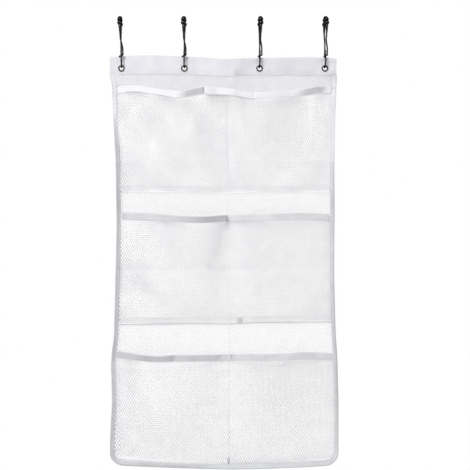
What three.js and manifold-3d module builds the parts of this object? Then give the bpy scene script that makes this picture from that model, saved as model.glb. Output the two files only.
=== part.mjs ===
// Hanging mesh shower organizer: a cloth panel with three rows of pockets, hung on a rod by roller rings.
// Lengths are in millimetres. X runs across, the front faces -Y and Z is up.
// The origin is on the axis of the rod, midway along the panel.

import * as THREE from 'three';
import { mergeVertices } from 'three/addons/utils/BufferGeometryUtils.js';
import Module from 'manifold-3d';

const wasm = await Module();
wasm.setup();

// Panel, from its top edge down
const PANEL_WIDTH = 360;
const HEADER_HEIGHT = 28;
const FIRST_MOUTH = 49;
const UPPER_POCKET = 165;
const UPPER_GAP = 34;
const MIDDLE_POCKET = 175;
const MIDDLE_GAP = 45;
const LOWER_POCKET = 177;
const CORNER_RADIUS = 20;
const SEAM_SHIFT = 4.5;
const SEAM_WIDTH = 3;

// Cloth and tape
const MESH_CLOTH = 0.8;
const HEADER_CLOTH = 0.8;
const TAPE = 0.6;
const TAPE_WIDTH = 8;
const MOUTH_TAPE_WIDTH = 9.5;
const CLEARANCE = 0.3;

// Net: one gap stands for many holes of the mesh, with this much cloth between two gaps
const NET_STRAND = 10.5;

// How the cloth hangs: sides drawn in at the waist, a sag and a fold at the middle of the header
const DRAW_LEFT = 9;
const DRAW_RIGHT = 3.5;
const TOP_SAG = 3.5;
const TOP_TILT = 1.2;
const BOTTOM_BOW = 6.5;
const FOLD_DEPTH = 5;
const FOLD_LENGTH = 120;

// Each pocket: how far its mouth stands open, how far its mouth sags, and where across it the sag is lowest
const UPPER_LEFT = { open: 17, sag: 8, lowest: 0.6 };
const UPPER_RIGHT = { open: 18, sag: 9, lowest: 0.3 };
const MIDDLE_LEFT = { open: 14, sag: 4, lowest: 0.65 };
const MIDDLE_RIGHT = { open: 14, sag: 2, lowest: 0.5 };
const LOWER_LEFT = { open: 14, sag: 5, lowest: 0.5 };
const LOWER_RIGHT = { open: 14, sag: 2, lowest: 0.4 };

// Plain tag sewn in at the bottom of the middle row
const TAG_SIDE = 9;
const TAG_CLOTH = 0.6;
const TAG_FROM_SEAM = 22;

// Eyelets in the header
const EYELET_BORE = 6;
const EYELET_WALL = 0.4;
const EYELET_FLANGE = 10.5;
const EYELET_CROWN = 1;
const EYELET_RIM = 0.35;
const EYELET_LIP = 0.9;
const EYELET_LIP_THICKNESS = 0.5;
const EYELET_WASHER = 0.5;
const EYELET_DROP = 18;
const EYELET_FROM_EDGE = 19;
const EYELET_MIDDLE_PITCH = 119;
const EYELET_MIDDLE_SHIFT = -2;

// Roller rings
const ROD_RADIUS = 12.5;
const WIRE = 2.4;
const RING_HEIGHT = 78;
const RING_TOP_RADIUS = 18;
const RING_LOBE_RADIUS = 10;
const RING_NECK_RADIUS = 24;
const ROLLER = 8;
const ROLLER_PITCH_DEG = 28;
const ROLLERS_EACH_SIDE = 2;
const PINCH_AFTER_DEG = 14;
const PINCH_TAPER_DEG = 45;
const CATCH_SPACE = 0.5;
const CATCH_FROM_DEG = 110;
const CATCH_LENGTH = 5;
const CATCH_TWIST = 1.5;
const FREE_END_DEG = 92;
const TIP_SHARE = 0.6;
const RING_LEAN_DEG = [-2.1, -0.7, 1.3, 1.1];
const RING_TURN_DEG = [1, -1.5, 3, 4];

// Fineness of the facets
const ROUND_SIDES = 16;
const WIRE_SIDES = 8;
const LOBE_STEPS = 13;
const NECK_STEPS = 6;
const FREE_STEPS = 4;
const CATCH_STEPS = 8;
const SHOULDER_STEPS = 4;
const ROLLER_SIDES = 10;
const ROLLER_BANDS = 6;
const SIDE_COLUMNS = 4;
const FOLD_COLUMNS = 2;
const CORNER_STEPS = 6;
const BOTTOM_STEPS = 12;
const ROW_STEP = 60;
const WELD = 0.003;

const radians = THREE.MathUtils.degToRad;
const lerp = THREE.MathUtils.lerp;
const smooth = (t) => THREE.MathUtils.smoothstep(t, 0, 1);
const steps = (from, to, count) => Array.from({ length: count + 1 }, (_, i) => lerp(from, to, i / count));

// Depths below the top edge
const middleMouth = FIRST_MOUTH + UPPER_POCKET + UPPER_GAP;
const lowerMouth = middleMouth + MIDDLE_POCKET + MIDDLE_GAP;
const panelHeight = lowerMouth + LOWER_POCKET;

// Layers, measured across the cloth from the middle of the back panel
const panelFace = MESH_CLOTH / 2;
const panelInset = TAPE + CLEARANCE;
const headerInside = panelFace + CLEARANCE;
const headerFace = headerInside + HEADER_CLOTH;
const wallOffMouth = TAPE + 2 * CLEARANCE;

// Ring outline: a round top and a round lobe joined by two neck arcs that touch both
const ringDrop = RING_HEIGHT - RING_TOP_RADIUS - RING_LOBE_RADIUS;
const topToNeck = RING_TOP_RADIUS + RING_NECK_RADIUS;
const lobeToNeck = RING_LOBE_RADIUS + RING_NECK_RADIUS;
const neckRise = (lobeToNeck ** 2 - topToNeck ** 2 + ringDrop ** 2) / (2 * ringDrop);
const neckReach = Math.sqrt(lobeToNeck ** 2 - neckRise ** 2);
const neckLowAngle = Math.atan2(neckReach, neckRise);
const neckHighAngle = Math.atan2(neckReach, ringDrop - neckRise);

// Heights: the rod carries the rollers, the rings carry the eyelets, the eyelets carry the cloth
const swingZ = ROD_RADIUS + ROLLER / 2 - RING_TOP_RADIUS - ringDrop;
const barrelRadius = EYELET_BORE / 2 + EYELET_WALL;
const flangeBack = headerFace + CLEARANCE;
const washerBack = flangeBack + EYELET_WASHER;
const eyeletFront = flangeBack + EYELET_CROWN;
const eyeletRear = washerBack + CLEARANCE + EYELET_LIP_THICKNESS;
const eyeletReach = Math.max(eyeletFront, eyeletRear);
const wireRise = RING_LOBE_RADIUS - Math.sqrt(RING_LOBE_RADIUS ** 2 - eyeletReach ** 2);
const eyeletZ = swingZ - RING_LOBE_RADIUS - (EYELET_BORE / 2 - WIRE / 2 - CLEARANCE - wireRise);
const topZ = eyeletZ + EYELET_DROP;
const eyeletOuterX = PANEL_WIDTH / 2 - EYELET_FROM_EDGE;
const eyeletInnerX = EYELET_MIDDLE_PITCH / 2;
const eyeletXs = [
  -eyeletOuterX,
  EYELET_MIDDLE_SHIFT - eyeletInnerX,
  EYELET_MIDDLE_SHIFT + eyeletInnerX,
  eyeletOuterX,
];
const foldReach = eyeletInnerX - Math.abs(EYELET_MIDDLE_SHIFT) - EYELET_FLANGE;

const lowerHeight = LOWER_POCKET - panelInset;
const ROWS = [
  { name: 'upper', mouth: FIRST_MOUTH, height: UPPER_POCKET, left: UPPER_LEFT, right: UPPER_RIGHT },
  { name: 'middle', mouth: middleMouth, height: MIDDLE_POCKET, left: MIDDLE_LEFT, right: MIDDLE_RIGHT },
  { name: 'lower', mouth: lowerMouth, height: lowerHeight, left: LOWER_LEFT, right: LOWER_RIGHT },
];

const FINISHES = {
  mesh: new THREE.MeshStandardMaterial({ color: 0xf2f2f4, roughness: 0.85 }),
  header: new THREE.MeshStandardMaterial({ color: 0xe9e8ee, roughness: 0.8 }),
  tape: new THREE.MeshStandardMaterial({ color: 0xd6d6dc, roughness: 0.65 }),
  tag: new THREE.MeshStandardMaterial({ color: 0xa4a4a8, roughness: 0.8 }),
  nickel: new THREE.MeshStandardMaterial({ color: 0x4a4846, roughness: 0.25, metalness: 1 }),
  chrome: new THREE.MeshStandardMaterial({ color: 0x2e2e30, roughness: 0.12, metalness: 1 }),
};

const organizer = new THREE.Group();

/** Adds one named piece to a group. */
function addPiece(group, name, geometry, finish) {
  const mesh = new THREE.Mesh(geometry, FINISHES[finish]);
  mesh.name = name;
  group.add(mesh);
  return mesh;
}

/** A geometry of points and triangles, turned inside out if its faces point in. */
function closedGeometry(points, triangles) {
  let volume = 0;
  for (const [a, b, c] of triangles) {
    volume += points[a].dot(new THREE.Vector3().crossVectors(points[b], points[c]));
  }
  const order = volume > 0 ? triangles : triangles.map(([a, b, c]) => [a, c, b]);
  const geometry = new THREE.BufferGeometry().setFromPoints(points);
  geometry.setIndex(order.flat());
  return geometry;
}

/** Two triangles for each cell of a grid of point numbers. */
function gridTriangles(number, rows, columns) {
  const triangles = [];
  for (let i = 0; i < rows; i += 1) {
    for (let j = 0; j < columns; j += 1) {
      const [a, b, c, d] = [number(i, j), number(i, j + 1), number(i + 1, j + 1), number(i + 1, j)];
      triangles.push([a, b, c], [a, c, d]);
    }
  }
  return triangles;
}

/** The four corners of a gap in one cell of a grid of points, half a strand in from each of its sides. */
function gapCorners(grid, i, j) {
  const [a, b, c, d] = [grid[i][j], grid[i][j + 1], grid[i + 1][j + 1], grid[i + 1][j]];
  const across = NET_STRAND / (2 * a.distanceTo(b));
  const along = NET_STRAND / (2 * a.distanceTo(d));
  const inside = (s, t) => a.clone().lerp(b, s).lerp(d.clone().lerp(c, s), t);
  return [
    inside(across, along),
    inside(1 - across, along),
    inside(1 - across, 1 - along),
    inside(across, 1 - along),
  ];
}

/**
 * A sheet: two grids of points with the same rows and columns, closed all round the rim, with a gap through
 * each cell that isOpen names.
 */
function sheetGeometry(front, back, isOpen = () => false) {
  const rows = front.length;
  const columns = front[0].length;
  const size = rows * columns;
  const points = [...front.flat(), ...back.flat()];
  const triangles = [];
  for (let i = 0; i < rows - 1; i += 1) {
    for (let j = 0; j < columns - 1; j += 1) {
      const start = i * columns + j;
      const cell = [start, start + 1, start + columns + 1, start + columns];
      const hole = isOpen(i, j) ? [0, 1, 2, 3].map((k) => points.length + k) : [];
      if (isOpen(i, j)) points.push(...gapCorners(front, i, j), ...gapCorners(back, i, j));
      triangles.push(...cellTriangles(cell, hole, size));
    }
  }
  const rim = [];
  for (let j = 0; j < columns - 1; j += 1) rim.push(j);
  for (let i = 0; i < rows - 1; i += 1) rim.push(i * columns + columns - 1);
  for (let j = columns - 1; j > 0; j -= 1) rim.push((rows - 1) * columns + j);
  for (let i = rows - 1; i > 0; i -= 1) rim.push(i * columns);
  rim.forEach((a, i) => {
    const b = rim[(i + 1) % rim.length];
    triangles.push([a, a + size, b + size], [a, b + size, b]);
  });
  return closedGeometry(points, triangles);
}

/** Triangles of one cell of a sheet, front and back: whole, or round a gap with its four walls. */
function cellTriangles([a, b, c, d], hole, size) {
  if (hole.length === 0) {
    return [[a, b, c], [a, c, d], [a + size, c + size, b + size], [a + size, d + size, c + size]];
  }
  const cell = [a, b, c, d];
  return cell.flatMap((corner, k) => {
    const next = cell[(k + 1) % 4];
    const [inner, innerNext] = [hole[k], hole[(k + 1) % 4]];
    const [behind, behindNext] = [inner + 4, innerNext + 4];
    return [
      [corner, next, innerNext], [corner, innerNext, inner],
      [next + size, corner + size, behind], [next + size, behind, behindNext],
      [inner, innerNext, behindNext], [inner, behindNext, behind],
    ];
  });
}

/** A closed outline carried through a row of stations, with both ends filled. */
function sweptGeometry(stations, outline) {
  const count = outline.length;
  const last = (stations.length - 1) * count;
  const triangles = gridTriangles((i, j) => i * count + (j % count), stations.length - 1, count);
  const filled = THREE.ShapeUtils.triangulateShape(outline, []);
  const caps = THREE.ShapeUtils.isClockWise(outline) ? filled.map(([a, b, c]) => [c, b, a]) : filled;
  for (const [a, b, c] of caps) {
    triangles.push([c, b, a], [last + a, last + b, last + c]);
  }
  return closedGeometry(stations.flat(), triangles);
}

/** A round wire through stations of { point, radius }, its section turned as little as it can be. */
function wireGeometry(path) {
  const points = path.map(({ point }) => point);
  const along = (i, j) => points[j].clone().sub(points[i]).normalize();
  const ends = points.length - 1;
  const tangents = points.map((_, i) => along(Math.max(i - 1, 0), Math.min(i + 1, ends)));
  let normal = new THREE.Vector3(1, 0, 0);
  const stations = path.map(({ point, radius }, i) => {
    normal = normal.clone().addScaledVector(tangents[i], -normal.dot(tangents[i])).normalize();
    const side = new THREE.Vector3().crossVectors(tangents[i], normal);
    return steps(0, 2 * Math.PI, WIRE_SIDES).slice(0, -1).map((turn) => point.clone()
      .addScaledVector(normal, radius * Math.cos(turn))
      .addScaledVector(side, radius * Math.sin(turn)));
  });
  const outline = steps(0, 2 * Math.PI, WIRE_SIDES).slice(0, -1)
    .map((turn) => new THREE.Vector2(Math.cos(turn), Math.sin(turn)));
  return sweptGeometry(stations, outline);
}

/** A ring turned about Y from a profile of [radius, y] corners that closes on itself. */
function turnedGeometry(profile, sides) {
  const corners = [...profile, profile[0]].map(([radius, y]) => new THREE.Vector2(radius, y));
  const lathe = new THREE.LatheGeometry(corners, sides);
  lathe.deleteAttribute('normal');
  lathe.deleteAttribute('uv');
  const merged = mergeVertices(lathe, WELD);
  const at = merged.getAttribute('position');
  const points = Array.from({ length: at.count }, (_, i) => new THREE.Vector3().fromBufferAttribute(at, i));
  const numbers = Array.from(merged.getIndex().array);
  const triangles = Array.from({ length: numbers.length / 3 }, (_, i) => numbers.slice(3 * i, 3 * i + 3));
  return closedGeometry(points, triangles);
}

/** A closed geometry as a solid that can be cut. */
function solidOf(geometry) {
  const vertProperties = new Float32Array(geometry.getAttribute('position').array);
  const triVerts = new Uint32Array(geometry.getIndex().array);
  return new wasm.Manifold(new wasm.Mesh({ numProp: 3, vertProperties, triVerts }));
}

/** A geometry with other closed geometries cut out of it. */
function cutGeometry(geometry, cutters) {
  const solid = cutters.reduce((rest, cutter) => rest.subtract(solidOf(cutter)), solidOf(geometry));
  const { vertProperties, triVerts } = solid.getMesh();
  const cut = new THREE.BufferGeometry();
  cut.setAttribute('position', new THREE.BufferAttribute(vertProperties, 3));
  cut.setIndex(new THREE.BufferAttribute(triVerts, 1));
  return cut;
}

/** How far a side edge is drawn in at a depth: most between the header and the lower row. */
function drawnIn(side, depth) {
  const share = THREE.MathUtils.clamp((depth - HEADER_HEIGHT) / (lowerMouth - HEADER_HEIGHT), 0, 1);
  return (side < 0 ? DRAW_LEFT : DRAW_RIGHT) * Math.sin(Math.PI * share);
}

/** X of the left (-1) or right (1) edge at a depth, moved in by an inset, with the bottom corner rounded. */
function edgeX(side, depth, inset) {
  const radius = CORNER_RADIUS - inset;
  const below = Math.max(0, depth - panelHeight + CORNER_RADIUS);
  const corner = radius - Math.sqrt(Math.max(0, radius ** 2 - below ** 2));
  return side * (PANEL_WIDTH / 2 - inset - drawnIn(side, depth) - corner);
}

/** Depths of the cloth's rows, header foot to bottom corners: at mouths and hems and between. */
function clothDepths() {
  const breaks = [HEADER_HEIGHT, ...ROWS.flatMap(({ mouth, height }) => [mouth, mouth + height])];
  breaks[breaks.length - 1] = panelHeight - CORNER_RADIUS;
  const spans = breaks.slice(1).map((to, i) => steps(breaks[i], to, Math.ceil((to - breaks[i]) / ROW_STEP)));
  return [HEADER_HEIGHT, ...spans.flatMap((span) => span.slice(1))];
}

/** Depths round a bottom corner whose edge is moved in by an inset. */
function cornerDepths(inset) {
  return steps(0, Math.PI / 2, CORNER_STEPS).slice(1)
    .map((turn) => panelHeight - CORNER_RADIUS + (CORNER_RADIUS - inset) * Math.sin(turn));
}

/** A bump of height 1 at the middle of the header that runs out before the eyelets beside it. */
function middleBump(x) {
  return Math.abs(x) < foldReach ? Math.cos((Math.PI * x) / (2 * foldReach)) ** 2 : 0;
}

/** The point of the hanging cloth at an X and a depth, moved across the cloth by an offset. */
function hangingPoint(x, depth, offset) {
  const across = x / (PANEL_WIDTH / 2);
  const down = depth / panelHeight;
  const topDrop = TOP_SAG * middleBump(x) + TOP_TILT * across;
  const bottomDrop = BOTTOM_BOW * (1 - across ** 2);
  const fold = FOLD_DEPTH * middleBump(x) * (1 - smooth((depth - HEADER_HEIGHT) / FOLD_LENGTH));
  return new THREE.Vector3(x, offset - fold, topZ - depth - lerp(topDrop, bottomDrop, down));
}

/** Round cutters for the eyelet holes. */
function eyeletCutters() {
  const radius = barrelRadius + CLEARANCE;
  const reach = 2 * (headerFace + FOLD_DEPTH);
  return eyeletXs.map((x) => {
    const cylinder = new THREE.CylinderGeometry(radius, radius, reach, ROUND_SIDES);
    cylinder.deleteAttribute('normal');
    cylinder.deleteAttribute('uv');
    return mergeVertices(cylinder.translate(x, 0, eyeletZ), WELD);
  });
}

const pocketColumnCount = SIDE_COLUMNS + FOLD_COLUMNS;

/** Whether a column of the cloth is net: neither a bound side nor the middle seam. */
function isNetColumn(j) {
  return j > 0 && j < 2 * (pocketColumnCount + 1) && j !== pocketColumnCount + 1;
}

/** Whether a row of the cloth is tall enough for gaps. */
function isNetRow(height) {
  return height > NET_STRAND * 3 / 2;
}

/** Shares across a pocket strip where it has columns: its bound sides, its seam and the two pockets. */
function pocketColumns(row) {
  const left = edgeX(-1, row.mouth, panelInset);
  const right = edgeX(1, row.mouth, panelInset);
  const share = (x) => (x - left) / (right - left);
  const boundLeft = share(edgeX(-1, row.mouth, TAPE_WIDTH + CLEARANCE));
  const boundRight = share(edgeX(1, row.mouth, TAPE_WIDTH + CLEARANCE));
  const seamLeft = share(SEAM_SHIFT - SEAM_WIDTH / 2);
  const seamRight = share(SEAM_SHIFT + SEAM_WIDTH / 2);
  const pockets = [
    ...steps(boundLeft, seamLeft, pocketColumnCount),
    ...steps(seamRight, boundRight, pocketColumnCount),
  ];
  return { share, boundLeft, seamLeft, seamRight, boundRight, pockets, all: [0, ...pockets, 1] };
}

/** How full a pocket is at a share across the strip: 0 at its seams and 1 at its lowest point. */
function pocketSwell(row, columns, share) {
  const isLeft = share < (columns.seamLeft + columns.seamRight) / 2;
  const pocket = isLeft ? row.left : row.right;
  const from = isLeft ? columns.boundLeft : columns.seamRight;
  const to = isLeft ? columns.seamLeft : columns.boundRight;
  const across = THREE.MathUtils.clamp((share - from) / (to - from), 0, 1);
  const swell = Math.sin(Math.PI * across ** (Math.log(0.5) / Math.log(pocket.lowest)));
  return { pocket, swell };
}

/** A point of a pocket strip at shares across and up, on its inner face or further forward by an offset. */
function pocketPoint(row, columns, share, up, forward) {
  const { pocket, swell } = pocketSwell(row, columns, share);
  const depth = lerp(row.mouth + row.height, row.mouth + pocket.sag * swell, up);
  const x = lerp(edgeX(-1, depth, panelInset), edgeX(1, depth, panelInset), share);
  const bound = TAPE_WIDTH / row.height;
  const rise = THREE.MathUtils.clamp((up - bound) / (1 - bound), 0, 1);
  const opened = pocket.open * swell * (1 - (1 - rise) ** 2);
  const stand = lerp(CLEARANCE, wallOffMouth, smooth(up / (1 - 2 * bound)));
  return hangingPoint(x, depth, -(panelFace + stand + opened + forward));
}

/** Where the back panel has its columns at a depth: from its sides to the ends of the fold and the seam. */
function panelColumns(depth) {
  const [left, right] = [edgeX(-1, depth, panelInset), edgeX(1, depth, panelInset)];
  const { share, boundLeft, seamLeft, seamRight, boundRight } = pocketColumns(ROWS[0]);
  const shares = [
    0,
    ...steps(boundLeft, share(-foldReach), SIDE_COLUMNS),
    ...steps(share(-foldReach), seamLeft, FOLD_COLUMNS).slice(1),
    ...steps(seamRight, share(foldReach), FOLD_COLUMNS),
    ...steps(share(foldReach), boundRight, SIDE_COLUMNS).slice(1),
    1,
  ];
  return shares.map((part) => lerp(left, right, part));
}

/** The sheet of mesh behind the pockets, from inside the header to inside the bottom tape. */
function backPanel() {
  const netDepths = clothDepths();
  const depths = [HEADER_CLOTH + CLEARANCE, ...netDepths, ...cornerDepths(panelInset)];
  const face = (offset) => depths.map(
    (depth) => panelColumns(depth).map((x) => hangingPoint(x, depth, offset)));
  const isOpen = (i, j) => (
    i > 0 && i < netDepths.length && isNetRow(depths[i + 1] - depths[i]) && isNetColumn(j));
  return cutGeometry(sheetGeometry(face(-panelFace), face(panelFace), isOpen), eyeletCutters());
}

/** The header band: a strip folded over the top edge, with a front leg and a back leg. */
function headerBand() {
  const outline = [
    [-headerFace, HEADER_HEIGHT],
    [-headerFace, HEADER_CLOTH],
    [-headerInside, 0],
    [headerInside, 0],
    [headerFace, HEADER_CLOTH],
    [headerFace, HEADER_HEIGHT],
    [headerInside, HEADER_HEIGHT],
    [headerInside, HEADER_CLOTH],
    [-headerInside, HEADER_CLOTH],
    [-headerInside, HEADER_HEIGHT],
  ].map(([offset, depth]) => new THREE.Vector2(offset, depth));
  const stations = [-PANEL_WIDTH / 2, ...panelColumns(0), PANEL_WIDTH / 2]
    .map((x) => outline.map((corner) => hangingPoint(x, corner.y, corner.x)));
  return cutGeometry(sweptGeometry(stations, outline), eyeletCutters());
}

/** The outer edge, down the left side, along the bottom and up the right side, as [x, depth]. */
function boundEdge() {
  const depths = [HEADER_HEIGHT + CLEARANCE, ...clothDepths().slice(1), ...cornerDepths(0)];
  const left = depths.map((depth) => [edgeX(-1, depth, 0), depth]);
  const right = depths.map((depth) => [edgeX(1, depth, 0), depth]).reverse();
  const bottom = steps(left.at(-1)[0], right[0][0], BOTTOM_STEPS).slice(1, -1).map((x) => [x, panelHeight]);
  return [...left, ...bottom, ...right];
}

/** The edge binding: a tape folded over the edges of the back panel and the pocket strips. */
function edgeBinding() {
  const frontInside = panelFace + wallOffMouth + MESH_CLOTH + CLEARANCE;
  const backInside = panelFace + CLEARANCE;
  const outline = [
    [0, backInside + TAPE],
    [0, -frontInside - TAPE],
    [TAPE_WIDTH, -frontInside - TAPE],
    [TAPE_WIDTH, -frontInside],
    [TAPE, -frontInside],
    [TAPE, backInside],
    [TAPE_WIDTH, backInside],
    [TAPE_WIDTH, backInside + TAPE],
  ].map(([inward, offset]) => new THREE.Vector2(inward, offset));
  const edge = boundEdge().map(([x, depth]) => new THREE.Vector2(x, depth));
  const stations = edge.map((point, i) => {
    const before = edge[Math.max(i - 1, 0)];
    const after = edge[Math.min(i + 1, edge.length - 1)];
    const along = after.clone().sub(before).normalize();
    const isEnd = i === 0 || i === edge.length - 1;
    const inward = isEnd ? new THREE.Vector2(-Math.sign(point.x), 0) : new THREE.Vector2(along.y, -along.x);
    return outline.map((corner) => hangingPoint(
      point.x + corner.x * inward.x, point.y + corner.x * inward.y, corner.y));
  });
  return sweptGeometry(stations, outline);
}

/** One row's pocket strip: sewn down at the sides, the bottom and the middle seam, open at the mouth. */
function pocketStrip(row) {
  const columns = pocketColumns(row);
  const bottom = row.mouth + row.height;
  const tapeFoot = 1 - MOUTH_TAPE_WIDTH / row.height;
  const ups = [...clothDepths(), ...cornerDepths(panelInset)]
    .filter((depth) => depth > row.mouth && depth <= bottom)
    .map((depth) => (bottom - depth) / row.height);
  ups.push(TAPE_WIDTH / row.height, tapeFoot, 1);
  ups.sort((a, b) => a - b);
  const face = (forward) => ups.map((up) => columns.all.map(
    (share) => pocketPoint(row, columns, share, up, forward)));
  const isOpen = (i, j) => isNetRow((ups[i + 1] - ups[i]) * row.height) && isNetColumn(j);
  return sheetGeometry(face(MESH_CLOTH), face(0), isOpen);
}

/** The tape folded over a pocket strip's mouth, from the inner edge of one side binding to the other. */
function mouthTape(row) {
  const columns = pocketColumns(row);
  const tapeFoot = 1 - MOUTH_TAPE_WIDTH / row.height;
  const front = MESH_CLOTH + CLEARANCE;
  const outline = [
    [front + TAPE, tapeFoot, 0],
    [front + TAPE, 1, CLEARANCE + TAPE],
    [-CLEARANCE - TAPE, 1, CLEARANCE + TAPE],
    [-CLEARANCE - TAPE, tapeFoot, 0],
    [-CLEARANCE, tapeFoot, 0],
    [-CLEARANCE, 1, CLEARANCE],
    [front, 1, CLEARANCE],
    [front, tapeFoot, 0],
  ];
  const lift = new THREE.Vector3();
  const stations = columns.pockets.map((share) => outline.map(([forward, up, above]) => (
    pocketPoint(row, columns, share, up, forward).add(lift.set(0, 0, above)))));
  const flat = outline.map(([forward, up, above]) => new THREE.Vector2(forward, up * row.height + above));
  return sweptGeometry(stations, flat);
}

/** The plain square tag on the front of the middle row, beside the seam and on the bottom edge. */
function sewnTag(row) {
  const columns = pocketColumns(row);
  const perMillimetre = 1 / (edgeX(1, row.mouth, panelInset) - edgeX(-1, row.mouth, panelInset));
  const from = columns.seamRight + (TAG_FROM_SEAM - TAG_SIDE / 2) * perMillimetre;
  const shares = steps(from, from + TAG_SIDE * perMillimetre, 2);
  const ups = [0, Math.min(TAPE_WIDTH, TAG_SIDE / 2) / row.height, TAG_SIDE / row.height];
  const face = (forward) => ups.map((up) => shares.map(
    (share) => pocketPoint(row, columns, share, up, MESH_CLOTH + CLEARANCE + forward)));
  return sheetGeometry(face(TAG_CLOTH), face(0));
}

/** An eyelet: a crowned flange in front, a barrel through the cloth and a lip rolled over behind. */
function eyelet() {
  const bore = EYELET_BORE / 2;
  const flange = EYELET_FLANGE / 2;
  const crownIn = bore + EYELET_CROWN / 2;
  const lipFront = washerBack + CLEARANCE;
  return turnedGeometry([
    [bore, -flangeBack - EYELET_CROWN / 2],
    [crownIn, -eyeletFront],
    [flange - EYELET_CROWN, -eyeletFront],
    [flange, -flangeBack - EYELET_RIM],
    [flange, -flangeBack],
    [barrelRadius, -flangeBack],
    [barrelRadius, lipFront],
    [barrelRadius + EYELET_LIP, lipFront],
    [barrelRadius + EYELET_LIP / 2, eyeletRear],
    [bore, lipFront],
  ], ROUND_SIDES);
}

/** The flat washer between the back of the header and the eyelet's lip. */
function eyeletWasher() {
  const hole = barrelRadius + CLEARANCE;
  return turnedGeometry([
    [hole, flangeBack],
    [EYELET_FLANGE / 2, flangeBack],
    [EYELET_FLANGE / 2, washerBack],
    [hole, washerBack],
  ], ROUND_SIDES);
}

/** Points of an arc about [y, z], angles from +Z towards +Y, carried aside in X. */
function arcPath(centre, radius, angles, aside = () => 0) {
  return angles.map((angle) => new THREE.Vector3(
    aside(angle),
    centre[0] + radius * Math.sin(angle),
    centre[1] + radius * Math.cos(angle),
  ));
}

const rollerBore = WIRE / 2 + CLEARANCE + (ROLLER / 2) ** 2 / (2 * RING_TOP_RADIUS);
const rollerPitch = radians(ROLLER_PITCH_DEG);
const lastRoller = ROLLERS_EACH_SIDE * rollerPitch;
const rollerAngles = steps(-lastRoller, lastRoller, 2 * ROLLERS_EACH_SIDE);

/**
 * A ring's wire, from its free end on the front, down through the eyelet, up the back, over the rod and down
 * the front again beside the free end, to a finger that hooks round it. It is pinched wide past the rollers.
 */
function ringWire() {
  const front = [-neckReach, neckRise];
  const back = [neckReach, neckRise];
  const strandSpace = WIRE + CATCH_SPACE;
  const catchFrom = radians(CATCH_FROM_DEG);
  const freeEnd = radians(FREE_END_DEG);
  const neckFoot = Math.PI - neckLowAngle;
  const aside = (angle) => strandSpace * smooth((angle - neckHighAngle) / (freeEnd - neckHighAngle));
  const pinch = lastRoller + radians(PINCH_AFTER_DEG);
  const pinchHalf = radians(PINCH_AFTER_DEG / 4);
  const topEnd = Math.PI - neckHighAngle;
  const topAngles = [
    ...steps(topEnd, pinch + pinchHalf, SHOULDER_STEPS),
    pinch,
    pinch - pinchHalf,
    ...[...rollerAngles].reverse().flatMap((angle) => [angle + rollerPitch / 4, angle - rollerPitch / 4]),
    -pinch + pinchHalf,
    -pinch,
    ...steps(-pinch - pinchHalf, -topEnd, SHOULDER_STEPS),
  ];
  const thin = (point) => ({ point, radius: WIRE / 2 });
  const tipRadius = TIP_SHARE * WIRE / 2;
  const tip = arcPath(front, RING_NECK_RADIUS, [freeEnd]).map((point) => ({ point, radius: tipRadius }));
  const free = arcPath(front, RING_NECK_RADIUS, steps(freeEnd, neckFoot, FREE_STEPS)).slice(1).map(thin);
  const tipEdge = arcPath(front, RING_NECK_RADIUS, [freeEnd + WIRE / (2 * RING_NECK_RADIUS)]).map(thin);
  const lobeAngles = steps(-neckLowAngle, neckLowAngle - 2 * Math.PI, LOBE_STEPS);
  const lobe = arcPath([0, 0], RING_LOBE_RADIUS, lobeAngles).slice(1).map(thin);
  const riseAngles = steps(-neckFoot, -neckHighAngle, NECK_STEPS);
  const rise = arcPath(back, RING_NECK_RADIUS, riseAngles).slice(1).map(thin);
  const topRadius = (angle) => {
    const past = (Math.abs(angle) - pinch) / radians(PINCH_TAPER_DEG);
    return past < 0 ? WIRE / 2 : lerp(rollerBore + CLEARANCE, WIRE / 2, Math.min(past, 1));
  };
  const top = topAngles.slice(1).map((angle) => ({
    point: arcPath([0, ringDrop], RING_TOP_RADIUS, [angle])[0],
    radius: topRadius(angle),
  }));
  const fallAngles = steps(neckHighAngle, catchFrom, CATCH_STEPS);
  const fall = arcPath(front, RING_NECK_RADIUS, fallAngles, aside).slice(1).map(thin);
  const finger = steps(0, 1, CATCH_STEPS).slice(1).map((share) => {
    const angle = catchFrom + (CATCH_LENGTH * Math.sin((Math.PI * share) / 2)) / RING_NECK_RADIUS;
    const turn = Math.PI * share ** CATCH_TWIST;
    const outward = strandSpace * Math.sin(turn);
    return thin(arcPath(front, RING_NECK_RADIUS - outward, [angle], () => strandSpace * Math.cos(turn))[0]);
  });
  return wireGeometry([...tip, ...tipEdge, ...free, ...lobe, ...rise, ...top, ...fall, ...finger]);
}

/** A roller: a ball with a bore, turned about Y. */
function roller() {
  const radius = ROLLER / 2;
  const end = Math.asin(rollerBore / radius);
  const profile = steps(end, Math.PI - end, ROLLER_BANDS)
    .map((angle) => [radius * Math.sin(angle), -radius * Math.cos(angle)]);
  return turnedGeometry(profile, ROLLER_SIDES);
}

addPiece(organizer, 'back_panel', backPanel(), 'mesh');
addPiece(organizer, 'header_band', headerBand(), 'header');
addPiece(organizer, 'edge_binding', edgeBinding(), 'tape');
for (const row of ROWS) {
  addPiece(organizer, `${row.name}_pockets`, pocketStrip(row), 'mesh');
  addPiece(organizer, `${row.name}_mouth_tape`, mouthTape(row), 'tape');
}
addPiece(organizer, 'sewn_tag', sewnTag(ROWS[1]), 'tag');

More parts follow.
